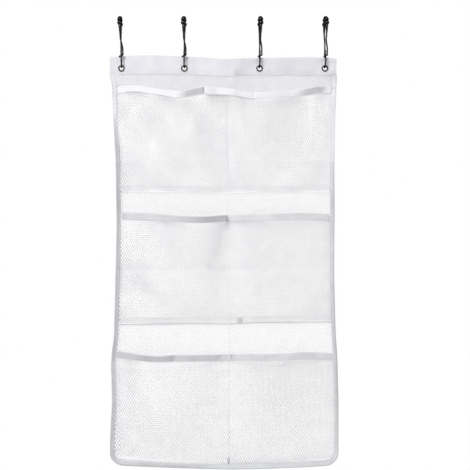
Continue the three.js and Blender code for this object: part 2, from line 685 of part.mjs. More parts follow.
eyeletXs.forEach((x, i) => {
  addPiece(organizer, `eyelet_${i + 1}`, eyelet(), 'nickel').position.set(x, 0, eyeletZ);
  addPiece(organizer, `eyelet_washer_${i + 1}`, eyeletWasher(), 'nickel').position.set(x, 0, eyeletZ);
  const ring = new THREE.Group();
  ring.position.set(x, 0, swingZ);
  ring.rotation.set(0, radians(RING_LEAN_DEG[i]), radians(RING_TURN_DEG[i]), 'YZX');
  addPiece(ring, `ring_wire_${i + 1}`, ringWire(), 'chrome');
  rollerAngles.forEach((angle, j) => {
    const ball = addPiece(ring, `roller_${i + 1}_${j + 1}`, roller(), 'chrome');
    ball.position.copy(arcPath([0, ringDrop], RING_TOP_RADIUS, [angle])[0]);
    ball.rotation.x = -angle;
  });
  organizer.add(ring);
});

export default organizer;
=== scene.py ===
"""Dresses the hanging mesh shower organizer: knitted mesh pockets, bound edges, eyelets and roller rings.

Lengths are in metres. X runs across, the front faces -Y and Z is up, as in the solids.
"""

import math

import bpy
import numpy as np
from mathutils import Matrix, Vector


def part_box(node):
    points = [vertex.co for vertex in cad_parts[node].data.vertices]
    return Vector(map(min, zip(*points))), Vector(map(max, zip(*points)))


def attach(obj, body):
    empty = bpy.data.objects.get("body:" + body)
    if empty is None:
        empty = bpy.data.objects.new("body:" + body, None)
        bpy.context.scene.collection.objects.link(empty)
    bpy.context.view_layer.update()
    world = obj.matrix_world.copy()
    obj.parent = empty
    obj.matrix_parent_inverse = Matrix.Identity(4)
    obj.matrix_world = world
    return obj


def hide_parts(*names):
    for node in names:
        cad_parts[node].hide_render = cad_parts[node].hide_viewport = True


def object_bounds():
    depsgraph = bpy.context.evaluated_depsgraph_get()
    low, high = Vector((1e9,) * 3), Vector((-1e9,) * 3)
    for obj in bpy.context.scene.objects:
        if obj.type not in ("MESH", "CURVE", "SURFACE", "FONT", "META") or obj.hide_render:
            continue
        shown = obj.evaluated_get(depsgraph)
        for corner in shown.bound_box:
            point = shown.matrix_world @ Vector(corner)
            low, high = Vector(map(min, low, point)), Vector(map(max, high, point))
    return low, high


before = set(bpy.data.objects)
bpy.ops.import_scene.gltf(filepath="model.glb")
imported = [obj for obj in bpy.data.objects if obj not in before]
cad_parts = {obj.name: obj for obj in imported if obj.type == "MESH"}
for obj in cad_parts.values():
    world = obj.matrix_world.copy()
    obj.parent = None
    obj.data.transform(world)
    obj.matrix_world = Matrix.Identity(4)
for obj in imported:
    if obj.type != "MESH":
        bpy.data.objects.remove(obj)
CAD_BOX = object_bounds()

# Panel, from its top edge down, as the solids have it
PANEL_WIDTH = 0.360
HEADER_HEIGHT = 0.028
FIRST_MOUTH = 0.049
UPPER_POCKET = 0.165
UPPER_GAP = 0.034
MIDDLE_POCKET = 0.175
MIDDLE_GAP = 0.045
LOWER_POCKET = 0.177
CORNER_RADIUS = 0.020
SEAM_SHIFT = 0.0045
SEAM_WIDTH = 0.003

# Cloth and tape
MESH_CLOTH = 0.0008
HEADER_CLOTH = 0.0008
TAPE = 0.0006
TAPE_WIDTH = 0.008
MOUTH_TAPE_WIDTH = 0.0095
CLEARANCE = 0.0003

# How the cloth hangs
DRAW_LEFT = 0.009
DRAW_RIGHT = 0.0035
TOP_SAG = 0.0035
TOP_TILT = 0.0012
EDGE_DIP = (
    (-0.180, 0.0014), (-0.120, -0.0014), (-0.056, 0.0002), (0.006, 0.0006), (0.050, 0.0018),
    (0.110, 0.0002), (0.150, 0.0001), (0.180, 0.0014),
)
EDGE_DIP_DEPTH = 0.0115
FOLD_DEPTH = 0.005
FOLD_LENGTH = 0.120

# Packing creases: (depth, height) of those across, and one down the middle
CREASE_FROM = 0.060
CREASES = ((0.165, 0.0012), (0.337, -0.0013), (0.491, 0.0012))
CREASE_X = 0.0035
CREASE_X_HEIGHT = 0.0011
CREASE_WIDTH = 0.0045

# The upper hem bulges forward: its depth, height and how far the bulge runs up and down
BULGE_DEPTH = 0.213
BULGE = 0.006
BULGE_UP = 0.100
BULGE_DOWN = 0.042

# Header: a rounded crease, right of which it leans, calm places round the eyelets, and its sewn lower edge
HEADER_CREASE_X = 0.017
HEADER_CREASE_HEIGHT = 0.0022
HEADER_CREASE_WIDTH = 0.0075
HEADER_CREASE_ROUND = 0.002
HEADER_LEAN = math.tan(math.radians(11))
HEADER_LEAN_REACH = 0.012
HEADER_LEAN_BELOW = 0.010
HEADER_LEAN_CALM = 0.013
HEADER_PUCKER_CALM = 0.009
HEADER_PUCKER_FROM = 0.004
HEADER_PUCKER_REACH = 0.02
HEADER_SEWN_IN = 0.0007
HEADER_SEWN_REACH = 0.012
HEADER_STITCH_INSET = 0.002

# The header's grid is fine near the eyelets and coarse elsewhere
HEADER_FINE_REACH = 0.008
HEADER_FINE_STEP = 0.0008
HEADER_COARSE_FROM = 0.0085

# Edges: how far they curl forward by depth, within reach of the edge, and how much narrower the tape looks
CURL_REACH = 0.020
CURL_LEFT = (
    (0.028, 0.0), (0.050, -0.0034), (0.080, -0.0022), (0.105, 0.0045), (0.135, 0.0105), (0.165, 0.0130),
    (0.250, 0.0135), (0.300, 0.0115), (0.450, 0.0115), (0.560, 0.0122), (0.645, 0.0105),
)
CURL_RIGHT = (
    (0.028, 0.0), (0.050, 0.004), (0.140, 0.005), (0.200, -0.0024), (0.300, -0.0024), (0.600, -0.0032),
    (0.645, 0.0),
)
BOTTOM_CURL_REACH = 0.010
BOTTOM_CURL = (
    (-0.180, -0.0016), (-0.140, -0.0050), (-0.030, -0.0042), (0.0, -0.0011), (0.090, -0.0011),
    (0.180, -0.0019),
)
TAPE_SQUEEZE_LEFT = 0.74
TAPE_SQUEEZE_RIGHT = 0.82

# Hems of the pocket strips, and the turn-over of the back mesh under the header
HEM_BAND = 0.011
HEM_ROLL = 0.0007
TURN_OVER_FROM = 0.0245
TURN_OVER_END = 0.057

# How far the hems hang below their place in the flat: depth, then left, middle and right
SETTLE = (
    (0.0, 0.0, 0.0, 0.0),
    (0.214, 0.0012, 0.0002, 0.0),
    (0.423, 0.0010, -0.0020, -0.0045),
    (0.645, 0.0007, 0.0074, 0.0007),
)

# How far the cloth sways to the right: depth, then left edge, middle and right edge
SWAY = (
    (0.0, 0.0006, 0.0, -0.0006),
    (0.030, 0.0006, 0.0, -0.0006),
    (0.045, 0.0029, 0.0, -0.0009),
    (0.105, 0.0020, 0.0003, -0.0020),
    (0.165, 0.0035, 0.0006, -0.0018),
    (0.250, 0.0031, 0.0022, -0.0003),
    (0.345, 0.0029, 0.0038, -0.0019),
    (0.440, 0.0060, 0.0055, -0.0014),
    (0.485, 0.0034, 0.0049, 0.0009),
    (0.545, 0.0049, 0.0037, 0.0025),
    (0.600, 0.0017, 0.0038, 0.0023),
    (0.645, 0.0016, 0.0040, 0.0022),
)

# Knitted mesh: hexagon holes in rows, taller than wide, as shares of their cells across and up
HOLE_PITCH = 0.00388
HOLE_ACROSS = 0.61
HOLE_UP = 0.92
RIDGE_GAIN = 1.2

# Slack of the upper right pocket that flops to the left over the middle seam: shares of the row's width
FLAP_FROM = 0.415
FLAP_TO = 0.632
BRIDGE_FOOT = 0.70
FLAP_OFF_LEFT = 0.0095
FLAP_OFF_RIGHT = 0.0026
FLAP_OFF_REACH = 0.30
FLAP_LEAN_LEFT = math.tan(math.radians(30))
FLAP_LEAN_RIGHT = math.tan(math.radians(23))
FLAP_TURN_UNDER = 0.0020
FLAP_TURN_REACH = 0.05
FLAP_TUCK = 0.0010
FLAP_TUCK_REACH = 0.14
FLAP_LINE = (
    (0.40, 0.0002), (0.45, 0.0), (0.506, -0.0004), (0.572, 0.0039), (0.61, 0.0076), (0.64, 0.0092),
)

# Pleat in the middle left pocket: across and up from the strip's lower left corner
PLEAT_TOP = (0.161, 0.152)
PLEAT_FOOT = (0.138, 0.0925)
PLEAT_HALF_WIDTH = 0.0022
PLEAT_LENGTH = 0.064
PLEAT_WIDTH = 0.010

# Tag
TAG_SIDE = 0.009
TAG_THICKNESS = 0.0006
TAG_CROWN = 0.0004
TAG_FROM_SEAM = 0.0172

# Eyelets
EYELET_BORE = 0.006
EYELET_WALL = 0.0004
EYELET_FLANGE = 0.0105
EYELET_CROWN = 0.001
EYELET_LIP = 0.0009
EYELET_LIP_THICKNESS = 0.0005
EYELET_ROUNDING = 0.7
EYELET_WASHER = 0.0005
WASHER_BEVEL = 0.0001
EYELET_DROP = 0.018
EYELET_FROM_EDGE = 0.019
EYELET_MIDDLE_PITCH = 0.119
EYELET_MIDDLE_SHIFT = -0.002

# Roller rings
ROD_RADIUS = 0.0125
WIRE = 0.0024
RING_HEIGHT = 0.078
RING_TOP_RADIUS = 0.018
RING_LOBE_RADIUS = 0.010
RING_NECK_RADIUS = 0.024
ROLLER = 0.008
ROLLER_PITCH = math.radians(28)
ROLLERS_EACH_SIDE = 2
PINCH_AFTER = math.radians(14)
PINCH_STEEP = 8
PINCH_TAPER = math.radians(45)
CATCH_SPACE = 0.0005
CATCH_FROM = math.radians(110)
CATCH_LENGTH = 0.005
CATCH_TWIST = 1.5
FREE_END = math.radians(92)
WIRE_END_LEAST = 0.04
RING_LEAN_DEG = (-2.1, -0.7, 1.3, 1.1)
RING_TURN_DEG = (1, -1.5, 3, 4)

# Sewing: a stitch's rings along its length, how it lifts and dips, and the puckers and grooves it makes
STITCH_PITCH = 0.0030
STITCH_LENGTH = 0.0024
STITCH_RADIUS = 0.00026
STITCH_RINGS = (-0.92, -0.55, 0.0, 0.55, 0.92)
STITCH_LIFT = 0.5
STITCH_DIP = 1.2
STITCH_FROM_EDGE = 0.0015
SEAM_END_WIDTH = 0.0034
SEAM_END_HEIGHT = 0.0085
SEAM_END_THREAD = 0.00042
TAPE_SEWING = {"pucker": 0.00014, "wave": 0.0085, "groove": 0.00016, "groove_width": 0.0006}
HEADER_SEWING = {"pucker": 0.00022, "wave": 0.017, "groove": 0.00018, "groove_width": 0.0007}
WAVER_SINES = ((1.0, 1.0), (1.618, 2.3), (0.427, 3.7))
HEADER_SEED = 2.0
BINDING_SEED = 0.7
MOUTH_SEED = 1.3
FLAP_SEED = 5.1

# Numbers of points along lines and round sections
HEADER_POINTS = 220
HEADER_LEG_POINTS = 36
HEADER_STITCH_POINTS = 300
TAPE_LEG_POINTS = 9
FOLD_POINTS = 9
BINDING_SIDE_POINTS = 300
BINDING_CORNER_POINTS = 16
BINDING_BOTTOM_POINTS = 160
MOUTH_POINTS = 260
FLAP_POINTS = 90
HEM_POINTS = 240
SEAM_POINTS = 120
GAP_POINTS = 40
LOOP_POINTS = 56
TAG_POINTS = 15
STITCH_SIDES = 6
CORD_SIDES = 10
WIRE_SIDES = 16
EYELET_SIDES = 48
EYELET_ROUND_POINTS = 13
ROLLER_SIDES = 40
ROLLER_POINTS = 22
FREE_END_POINTS = 24
LOBE_POINTS = 48
BACK_NECK_POINTS = 28
TOP_POINTS = 200
FRONT_NECK_POINTS = 40
FINGER_POINTS = 28
SHARP_ANGLE = math.radians(40)

# Photograph: its frame in pixels, where the panel lies in it, and the camera that takes it
PHOTO_SIDE = 470
METRES_PER_PIXEL = 0.001583
PIXEL_OF_MIDDLE_X = 223.2
PIXEL_OF_EYELETS_Y = 68.4
CAMERA_DISTANCE = 3.0
SENSOR_WIDTH = 36.0

# Studio: the world's light on the object, the floor, and each lamp's direction, distance, size and power
WORLD_LIGHT = 0.265
FLOOR_WHITE = 0.6
FLOOR_HALF = 2.4
FLOOR_BELOW = 0.35
LAMPS = {
    "key": ((-0.34, -0.76, 0.58), 4.5, 1.5, 161.0),
    "fill": ((0.5, -0.85, 0.1), 3.0, 1.6, 7.0),
    "back": ((0.35, 0.80, 0.48), 4.5, 1.5, 50.0),
}

# Worked out from the above, as in the solids
MIDDLE_MOUTH = FIRST_MOUTH + UPPER_POCKET + UPPER_GAP
LOWER_MOUTH = MIDDLE_MOUTH + MIDDLE_POCKET + MIDDLE_GAP
PANEL_HEIGHT = LOWER_MOUTH + LOWER_POCKET
PANEL_FACE = MESH_CLOTH / 2
PANEL_INSET = TAPE + CLEARANCE
HEADER_FACE = PANEL_FACE + CLEARANCE + HEADER_CLOTH
WALL_OFF_MOUTH = TAPE + 2 * CLEARANCE
RING_DROP = RING_HEIGHT - RING_TOP_RADIUS - RING_LOBE_RADIUS
SWING_Z = ROD_RADIUS + ROLLER / 2 - RING_TOP_RADIUS - RING_DROP
ROLLER_BORE = WIRE / 2 + CLEARANCE + (ROLLER / 2) ** 2 / (2 * RING_TOP_RADIUS)
EYELET_Z = sum(corner.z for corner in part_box("eyelet_1")) / 2
TOP_Z = EYELET_Z + EYELET_DROP
EYELET_XS = (
    EYELET_FROM_EDGE - PANEL_WIDTH / 2,
    EYELET_MIDDLE_SHIFT - EYELET_MIDDLE_PITCH / 2,
    EYELET_MIDDLE_SHIFT + EYELET_MIDDLE_PITCH / 2,
    PANEL_WIDTH / 2 - EYELET_FROM_EDGE,
)
FOLD_REACH = EYELET_MIDDLE_PITCH / 2 - abs(EYELET_MIDDLE_SHIFT) - EYELET_FLANGE

# Rows of pockets: how far each pocket opens and where it is fullest, then by shares across the strip how far
# its mouth lies below its place in the flat, and by how many degrees it leans back
ROWS = {
    "upper": {
        "mouth": FIRST_MOUTH,
        "height": UPPER_POCKET,
        "left": {"open": 0.017, "lowest": 0.6},
        "right": {"open": 0.018, "lowest": 0.3},
        "mouth_line": (
            (0.01, 0.0009), (0.026, -0.0003), (0.084, -0.0029), (0.21, 0.0032), (0.313, 0.0076),
            (0.412, 0.0004), (0.506, -0.0012), (0.572, 0.0039), (0.623, 0.0084), (0.673, 0.0077),
            (0.75, 0.0055), (0.824, 0.0041), (0.877, 0.0015), (0.926, -0.0016), (0.96, -0.0024),
            (0.99, -0.0024),
        ),
        "lean_deg": (
            (0.03, 5), (0.07, 26), (0.27, 26), (0.33, -44), (0.405, -44), (0.425, 16), (0.55, 21),
            (0.632, 23), (0.645, 4), (0.80, 2), (0.87, -49), (0.92, -49), (0.96, -16),
        ),
    },
    "middle": {
        "mouth": MIDDLE_MOUTH,
        "height": MIDDLE_POCKET,
        "left": {"open": 0.015, "lowest": 0.76},
        "right": {"open": 0.014, "lowest": 0.5},
        "mouth_line": (
            (0.01, -0.0008), (0.026, -0.0006), (0.157, 0.0009), (0.272, 0.0043), (0.377, 0.0055),
            (0.507, 0.0014), (0.568, 0.0024), (0.754, 0.0015), (0.864, 0.0005), (0.973, 0.0019),
            (0.99, 0.0022),
        ),
        "lean_deg": (
            (0.03, -4), (0.18, -6), (0.30, -28), (0.36, -45), (0.42, -55), (0.497, -61), (0.505, -2),
            (0.72, -1), (0.78, 6), (0.85, 14), (0.97, 14),
        ),
    },
    "lower": {
        "mouth": LOWER_MOUTH,
        "height": LOWER_POCKET - PANEL_INSET,
        "left": {"open": 0.014, "lowest": 0.5},
        "right": {"open": 0.014, "lowest": 0.4},
        "mouth_line": (
            (0.01, -0.0033), (0.038, -0.0020), (0.17, 0.0034), (0.28, 0.0029), (0.397, 0.0029),
            (0.546, 0.0020), (0.705, 0.0033), (0.875, 0.0019), (0.974, 0.0051), (0.996, 0.0056),
        ),
        "lean_deg": (
            (0.03, -28), (0.09, -32), (0.13, -50), (0.25, -50), (0.275, -18), (0.32, -28), (0.455, -30),
            (0.48, -6), (0.512, -6), (0.518, -40), (0.53, -18), (0.62, -18), (0.68, -14), (0.73, -4),
            (0.97, -3),
        ),
    },
}


def lerp(a, b, t):
    """From a at t 0 to b at t 1."""
    return a + (b - a) * t


def smooth(t):
    """An S curve from 0 to 1: 3 t squared less 2 t cubed."""
    t = np.clip(t, 0.0, 1.0)
    return t * t * (3.0 - 2.0 * t)


def waver(t, seed):
    """An uneven wave about 0, from -1 to 1: the mean of sines whose lengths have no common measure."""
    return sum(np.sin(pace * t + shift * seed) for pace, shift in WAVER_SINES) / len(WAVER_SINES)


def through(t, points):
    """A smooth line through (place, value) points: cubic pieces with the slopes between neighbours."""
    place, value = np.transpose(points)
    slope = np.gradient(value, place)
    k = np.clip(np.searchsorted(place, t, side="right") - 1, 0, len(place) - 2)
    span = place[k + 1] - place[k]
    s = np.clip((t - place[k]) / span, 0.0, 1.0)
    bend = span * (slope[k] * s * (1 - s) ** 2 - slope[k + 1] * s**2 * (1 - s))
    return lerp(value[k], value[k + 1], smooth(s)) + bend


def run_of(points):
    """Lengths along a line of points from its start."""
    return np.concatenate([[0.0], np.cumsum(np.linalg.norm(np.diff(points, axis=0), axis=1))])


# Hanging cloth


def drawn_in(side, depth):
    """How far a side edge is drawn in: half a sine wave between the header and the lower row."""
    share = np.clip((depth - HEADER_HEIGHT) / (LOWER_MOUTH - HEADER_HEIGHT), 0, 1)
    return (DRAW_LEFT if side < 0 else DRAW_RIGHT) * np.sin(np.pi * share)


def edge_x(side, depth, inset):
    """X of the left (-1) or right (1) edge moved in by an inset: straight, with a quarter circle below."""
    radius = CORNER_RADIUS - inset
    below = np.clip(depth - PANEL_HEIGHT + CORNER_RADIUS, 0, radius)
    corner = radius - np.sqrt(radius**2 - below**2)
    return side * (PANEL_WIDTH / 2 - inset - drawn_in(side, depth) - corner)


def between_edges(x, depth, inset):
    """True where X lies between the panel's edges moved in by an inset."""
    return (x > edge_x(-1, depth, inset)) & (x < edge_x(1, depth, inset))


def across_strip(share, depth):
    """X at a share across a pocket strip, from its left edge to its right."""
    return lerp(edge_x(-1, depth, PANEL_INSET), edge_x(1, depth, PANEL_INSET), share)


def off_eyelets(x, depth):
    """Distance on the cloth from the middle of the nearest eyelet."""
    return np.min([np.hypot(x - eyelet_x, depth - EYELET_DROP) for eyelet_x in EYELET_XS], axis=0)


def middle_bump(x):
    """A squared cosine of height 1 at the middle of the header that runs out before the eyelets."""
    reach = np.minimum(np.abs(x), FOLD_REACH)
    return np.cos(np.pi * reach / (2 * FOLD_REACH)) ** 2


def relief(x, depth):
    """How far the cloth stands forward: the header's fold and lean, the edges' curl and the packing creases.

    The curl grows with the cube of the nearness to a side edge and the square of that to the bottom. A crease
    is a ridge with exponential flanks. The right half of the header leans out at the top, about the height of
    the eyelets, and lies flat round them.
    """
    fold = FOLD_DEPTH * middle_bump(x) * (1 - smooth((depth - HEADER_HEIGHT) / FOLD_LENGTH))
    side = np.where(x < 0, drawn_in(-1, depth), drawn_in(1, depth))
    near = 1 - np.clip((PANEL_WIDTH / 2 - side - np.abs(x)) / CURL_REACH, 0, 1)
    near_bottom = np.clip(1 - (PANEL_HEIGHT - depth) / BOTTOM_CURL_REACH, 0, 1)
    curl = np.where(x < 0, through(depth, CURL_LEFT), through(depth, CURL_RIGHT)) * near**3
    curl = curl + through(x, BOTTOM_CURL) * near_bottom**2
    crease = CREASE_X_HEIGHT * np.exp(-np.abs(x - CREASE_X) / CREASE_WIDTH)
    for place, height in CREASES:
        crease = crease + height * np.exp(-np.abs(depth - place) / CREASE_WIDTH)
    upward = smooth(1 - (BULGE_DEPTH - depth) / BULGE_UP)
    bulge = BULGE * upward * smooth(1 - (depth - BULGE_DEPTH) / BULGE_DOWN)
    off_crease = np.hypot(x - HEADER_CREASE_X, HEADER_CREASE_ROUND)
    top_crease = HEADER_CREASE_HEIGHT * np.exp(-off_crease / HEADER_CREASE_WIDTH)
    calm = 1 - np.exp(-((off_eyelets(x, depth) / HEADER_LEAN_CALM) ** 4))
    lean = HEADER_LEAN * smooth((x - HEADER_CREASE_X) / HEADER_LEAN_REACH) * calm
    lean = lean * np.clip(EYELET_DROP - depth, -HEADER_LEAN_BELOW, None)
    below_header = smooth((depth - HEADER_HEIGHT) / CREASE_FROM)
    return fold + curl + bulge + crease * below_header + (top_crease + lean) * (1 - below_header)


def curve_across(across, depth, table):
    """A parabola across, from -1 to 1, through a table's left, middle and right values for a depth."""
    depths, *columns = np.transpose(table)
    left, middle, right = (np.interp(depth, depths, column) for column in columns)
    return middle * (1 - across**2) + (left * (across - 1) + right * (across + 1)) * across / 2


def hang(x, depth, forward):
    """Points of the hanging cloth at X and depth below the top edge, moved forward off its middle.

    The cloth sags at the middle of the header and its top edge dips unevenly. Below it settles and sways.
    """
    across = x / (PANEL_WIDTH / 2)
    top_drop = TOP_SAG * middle_bump(x) + TOP_TILT * across
    z = TOP_Z - depth - top_drop * (1 - depth / PANEL_HEIGHT) - curve_across(across, depth, SETTLE)
    z = z - through(x, EDGE_DIP) * (1 - smooth(depth / EDGE_DIP_DEPTH))
    return np.stack([x + curve_across(across, depth, SWAY), -forward - relief(x, depth), z], axis=-1)


def strip_width(row):
    """A pocket strip's width at its mouth."""
    return float(edge_x(1, row["mouth"], PANEL_INSET) - edge_x(-1, row["mouth"], PANEL_INSET))


def strip_shares(row):
    """Shares across a pocket strip: where its side bindings and its middle seam begin and end."""
    bound = TAPE_WIDTH + CLEARANCE
    places = (
        edge_x(-1, row["mouth"], bound),
        SEAM_SHIFT - SEAM_WIDTH / 2,
        SEAM_SHIFT + SEAM_WIDTH / 2,
        edge_x(1, row["mouth"], bound),
    )
    return [float((x - edge_x(-1, row["mouth"], PANEL_INSET)) / strip_width(row)) for x in places]


def seam_share(row):
    """The share across a pocket strip of its middle seam."""
    return sum(strip_shares(row)[1:3]) / 2


def pocket_terms(row, share):
    """How full a pocket is at a share across, from 0 at its seams to 1, and how far it opens there.

    The fullness is half a sine wave whose top is moved to the pocket's lowest point by a power of the share.
    """
    bound_left, seam_left, seam_right, bound_right = strip_shares(row)
    is_left = share < (seam_left + seam_right) / 2
    start = np.where(is_left, bound_left, seam_right)
    end = np.where(is_left, seam_left, bound_right)
    across = np.clip((share - start) / (end - start), 0, 1)
    lowest, opened = (np.where(is_left, row["left"][key], row["right"][key]) for key in ("lowest", "open"))
    return np.sin(np.pi * across ** (np.log(0.5) / np.log(lowest))), opened


def pocket_stand(row, share, up):
    """How far a pocket strip's inner face stands forward at shares across and up.

    The strip stands open by the pocket's fullness times a parabola that rises fast from the hem. Over the
    tape's width the mouth leans back or out, by angles that change along it. Near the upper mouth the slack
    bridges the seam: there the fullness is drawn towards a straight line between the flap's ends.
    """
    swell, opened = pocket_terms(row, share)
    bound = TAPE_WIDTH / row["height"]
    rise = np.clip((up - bound) / (1 - bound), 0, 1)
    tape_foot = 1 - MOUTH_TAPE_WIDTH / row["height"]
    past_foot = np.clip(up - tape_foot, 0, None) * row["height"]
    leaned = -np.tan(np.radians(np.interp(share, *np.transpose(row["lean_deg"])))) * past_foot
    stand = lerp(CLEARANCE, WALL_OFF_MOUTH, smooth(up / (1 - 2 * bound)))
    full = opened * swell
    if row is ROWS["upper"]:
        ends = np.array([FLAP_FROM, FLAP_TO])
        line = np.interp(share, ends, np.prod(pocket_terms(row, ends), axis=0))
        under_flap = (share > FLAP_FROM) & (share < FLAP_TO)
        bridge = under_flap * smooth((up - BRIDGE_FOOT) / (tape_foot - BRIDGE_FOOT))
        full = full + bridge * np.clip(line - full, 0, None)
    return PANEL_FACE + stand + full * (1 - (1 - rise) ** 2) + leaned


def pocket(row, share, up, forward):
    """Points of a pocket strip at shares across and up, moved forward off its inner face.

    Its mouth follows the row's mouth line.
    """
    depth = lerp(row["mouth"] + row["height"], row["mouth"] + through(share, row["mouth_line"]), up)
    return hang(across_strip(share, depth), depth, pocket_stand(row, share, up) + forward)


def pocket_mouth(row, share, below, forward):
    """Points of a pocket strip at shares across and lengths below its mouth, or straight up above it."""
    up = 1 - below / row["height"]
    points = pocket(row, share, np.minimum(up, 1.0), forward)
    points[..., 2] += np.maximum(up - 1, 0) * row["height"]
    return points


def flap(row, share, below, forward):
    """Points of the flopped slack at shares across and lengths below its mouth, moved forward.

    It lies on the strips, well off the left pocket's mouth and close on the right one's. It leans back from
    its foot, turns under at its left fold and tucks in at its right end.
    """
    across = (share - FLAP_FROM) / (FLAP_TO - FLAP_FROM)
    depth = row["mouth"] + through(share, FLAP_LINE) + below
    off = lerp(FLAP_OFF_LEFT, FLAP_OFF_RIGHT, smooth(across / FLAP_OFF_REACH))
    spanned = pocket_stand(row, share, 1 - MOUTH_TAPE_WIDTH / row["height"]) + off
    turned_under = FLAP_TURN_UNDER * np.clip(1 - across / FLAP_TURN_REACH, 0, 1) ** 2
    tucked = FLAP_TUCK * smooth((across - 1 + FLAP_TUCK_REACH) / FLAP_TUCK_REACH)
    above_foot = MOUTH_TAPE_WIDTH - np.clip(below, 0, MOUTH_TAPE_WIDTH)
    leaned = lerp(FLAP_LEAN_LEFT, FLAP_LEAN_RIGHT, across) * above_foot
    return hang(across_strip(share, depth), depth, spanned - leaned - turned_under - tucked + forward)


# Meshes


def around(sides):
    """Angles of that many points round a circle."""
    return np.linspace(0, 2 * np.pi, sides, endpoint=False)


def unit(vectors):
    """Vectors made 1 long."""
    return vectors / np.linalg.norm(vectors, axis=1, keepdims=True)


def grid_quads(rows, columns, close_rows=False, close_columns=False):
    """Corner numbers of each cell of a grid of points, whose rows or columns may close into rings."""
    i, j = np.indices((rows - 1 + close_rows, columns - 1 + close_columns))
    here, after = i * columns, (i + 1) % rows * columns
    j_after = (j + 1) % columns
    return np.stack([here + j, here + j_after, after + j_after, after + j], axis=-1).reshape(-1, 4)


def rim_sides(edges, count):
    """Quads along the edges that only one face uses, to the same edges of a layer numbered count higher."""
    _, first, uses = np.unique(np.sort(edges, axis=1), axis=0, return_index=True, return_counts=True)
    start, end = edges[first[uses == 1]].T
    return np.stack([start, end, end + count, start + count], axis=1)


def add_object(name, data):
    """An object in the scene, at the origin."""
    added = bpy.data.objects.new(name, data)
    bpy.context.collection.objects.link(added)
    return added


def make_piece(name, points, faces, finish, nodes=(), slot=None, uv=None, body="panel"):
    """One object from points and faces, dressed, on its body, standing for the solids it replaces."""
    groups = [np.asarray(group) for group in faces if len(group)]
    loops = np.concatenate([group.ravel() for group in groups])
    sizes = np.concatenate([np.full(len(group), group.shape[1]) for group in groups])
    mesh = bpy.data.meshes.new(name)
    mesh.vertices.add(len(points))
    mesh.vertices.foreach_set("co", np.asarray(points, dtype=np.float32).ravel())
    mesh.loops.add(len(loops))
    mesh.loops.foreach_set("vertex_index", loops.astype(np.int32))
    mesh.polygons.add(len(sizes))
    mesh.polygons.foreach_set("loop_start", (np.cumsum(sizes) - sizes).astype(np.int32))
    mesh.polygons.foreach_set("use_smooth", np.ones(len(sizes), dtype=bool))
    if uv is not None:
        layer = mesh.uv_layers.new(name="cloth")
        layer.uv.foreach_set("vector", np.asarray(uv, dtype=np.float32)[loops].ravel())
    mesh.update(calc_edges=True)
    mesh.validate()
    mesh.set_sharp_from_angle(angle=SHARP_ANGLE)
    mesh.materials.append(finish)
    piece = add_object(name, mesh)
    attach(piece, body)
    if nodes:
        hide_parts(*nodes)
    return piece


def join(parts):
    """Points and faces of several parts as one."""
    points, faces, start = [], [], 0
    for part_points, part_faces in parts:
        points.append(part_points)
        faces += [np.asarray(group) + start for group in part_faces]
        start += len(part_points)
    return np.concatenate(points), faces


def closed_sheet(outer, inner, keep=None):
    """Points and faces of a sheet between two grids, closed round its rim and round the cells left out."""
    rows, columns = outer.shape[:2]
    quads = grid_quads(rows, columns)
    if keep is not None:
        quads = quads[keep.ravel()]
    count = rows * columns
    sides = rim_sides(np.concatenate([quads[:, [(k + 1) % 4, k]] for k in range(4)]), count)
    points = np.concatenate([outer.reshape(-1, 3), inner.reshape(-1, 3)])
    return points, [np.concatenate([quads, quads[:, ::-1] + count, sides])]


def cloth_map(along, across):
    """Flat places on the cloth of a closed sheet's two grids of points."""
    flat = np.stack(np.broadcast_arrays(along, across), axis=-1).reshape(-1, 2)
    return np.tile(flat, (2, 1))


def knitted_net(inside, to_space, width, span):
    """Points, faces and flat area of knitted mesh: hexagon cells in rows, each strands round a hole.

    Cell centres lie on a triangular lattice over a flat width, in a span of heights. A strand is a diamond
    across: its ridges, shared by the cells on both sides, stand off the cloth, and its edges lie on the rims
    of the holes. to_space maps flat u, v and the height off the cloth to points.
    """
    side = HOLE_PITCH / math.sqrt(3)
    row_pitch = 1.5 * side
    rows = np.arange(round(span[0] / row_pitch), round(span[1] / row_pitch))
    columns = np.arange(-1, int(width / HOLE_PITCH) + 2)
    r, c = (axis.ravel() for axis in np.meshgrid(rows, columns, indexing="ij"))
    unit = np.array([HOLE_PITCH / 2, side / 2])
    centre = np.stack([2 * c + r % 2, 3 * r + 1], axis=-1)
    centre = centre[inside(*(centre * unit).T)]
    around = np.array([(0, 2), (1, 1), (1, -1), (0, -2), (-1, -1), (-1, 1)])
    corner = (centre[:, None, :] + around).reshape(-1, 2)
    ridge, number = np.unique(corner, axis=0, return_inverse=True)
    number = number.reshape(-1, 6)
    holes = ((centre[:, None, :] + around * (HOLE_ACROSS, HOLE_UP)) * unit).reshape(-1, 2)
    flat = ridge * unit
    half = MESH_CLOTH / 2
    points = np.concatenate([to_space(*flat.T, half), to_space(*flat.T, -half), to_space(*holes.T, 0.0)])
    count = len(ridge)
    hole = 2 * count + np.arange(len(holes)).reshape(-1, 6)
    after, hole_after = np.roll(number, -1, axis=1), np.roll(hole, -1, axis=1)
    front = np.stack([number, hole, hole_after, after], axis=-1).reshape(-1, 4)
    back = np.stack([number + count, after + count, hole_after, hole], axis=-1).reshape(-1, 4)
    sides = rim_sides(np.stack([number, after], axis=-1).reshape(-1, 2), count)
    area = len(centre) * HOLE_PITCH * row_pitch * (1 - HOLE_ACROSS * HOLE_UP) * RIDGE_GAIN
    return points, [front, back, sides], area


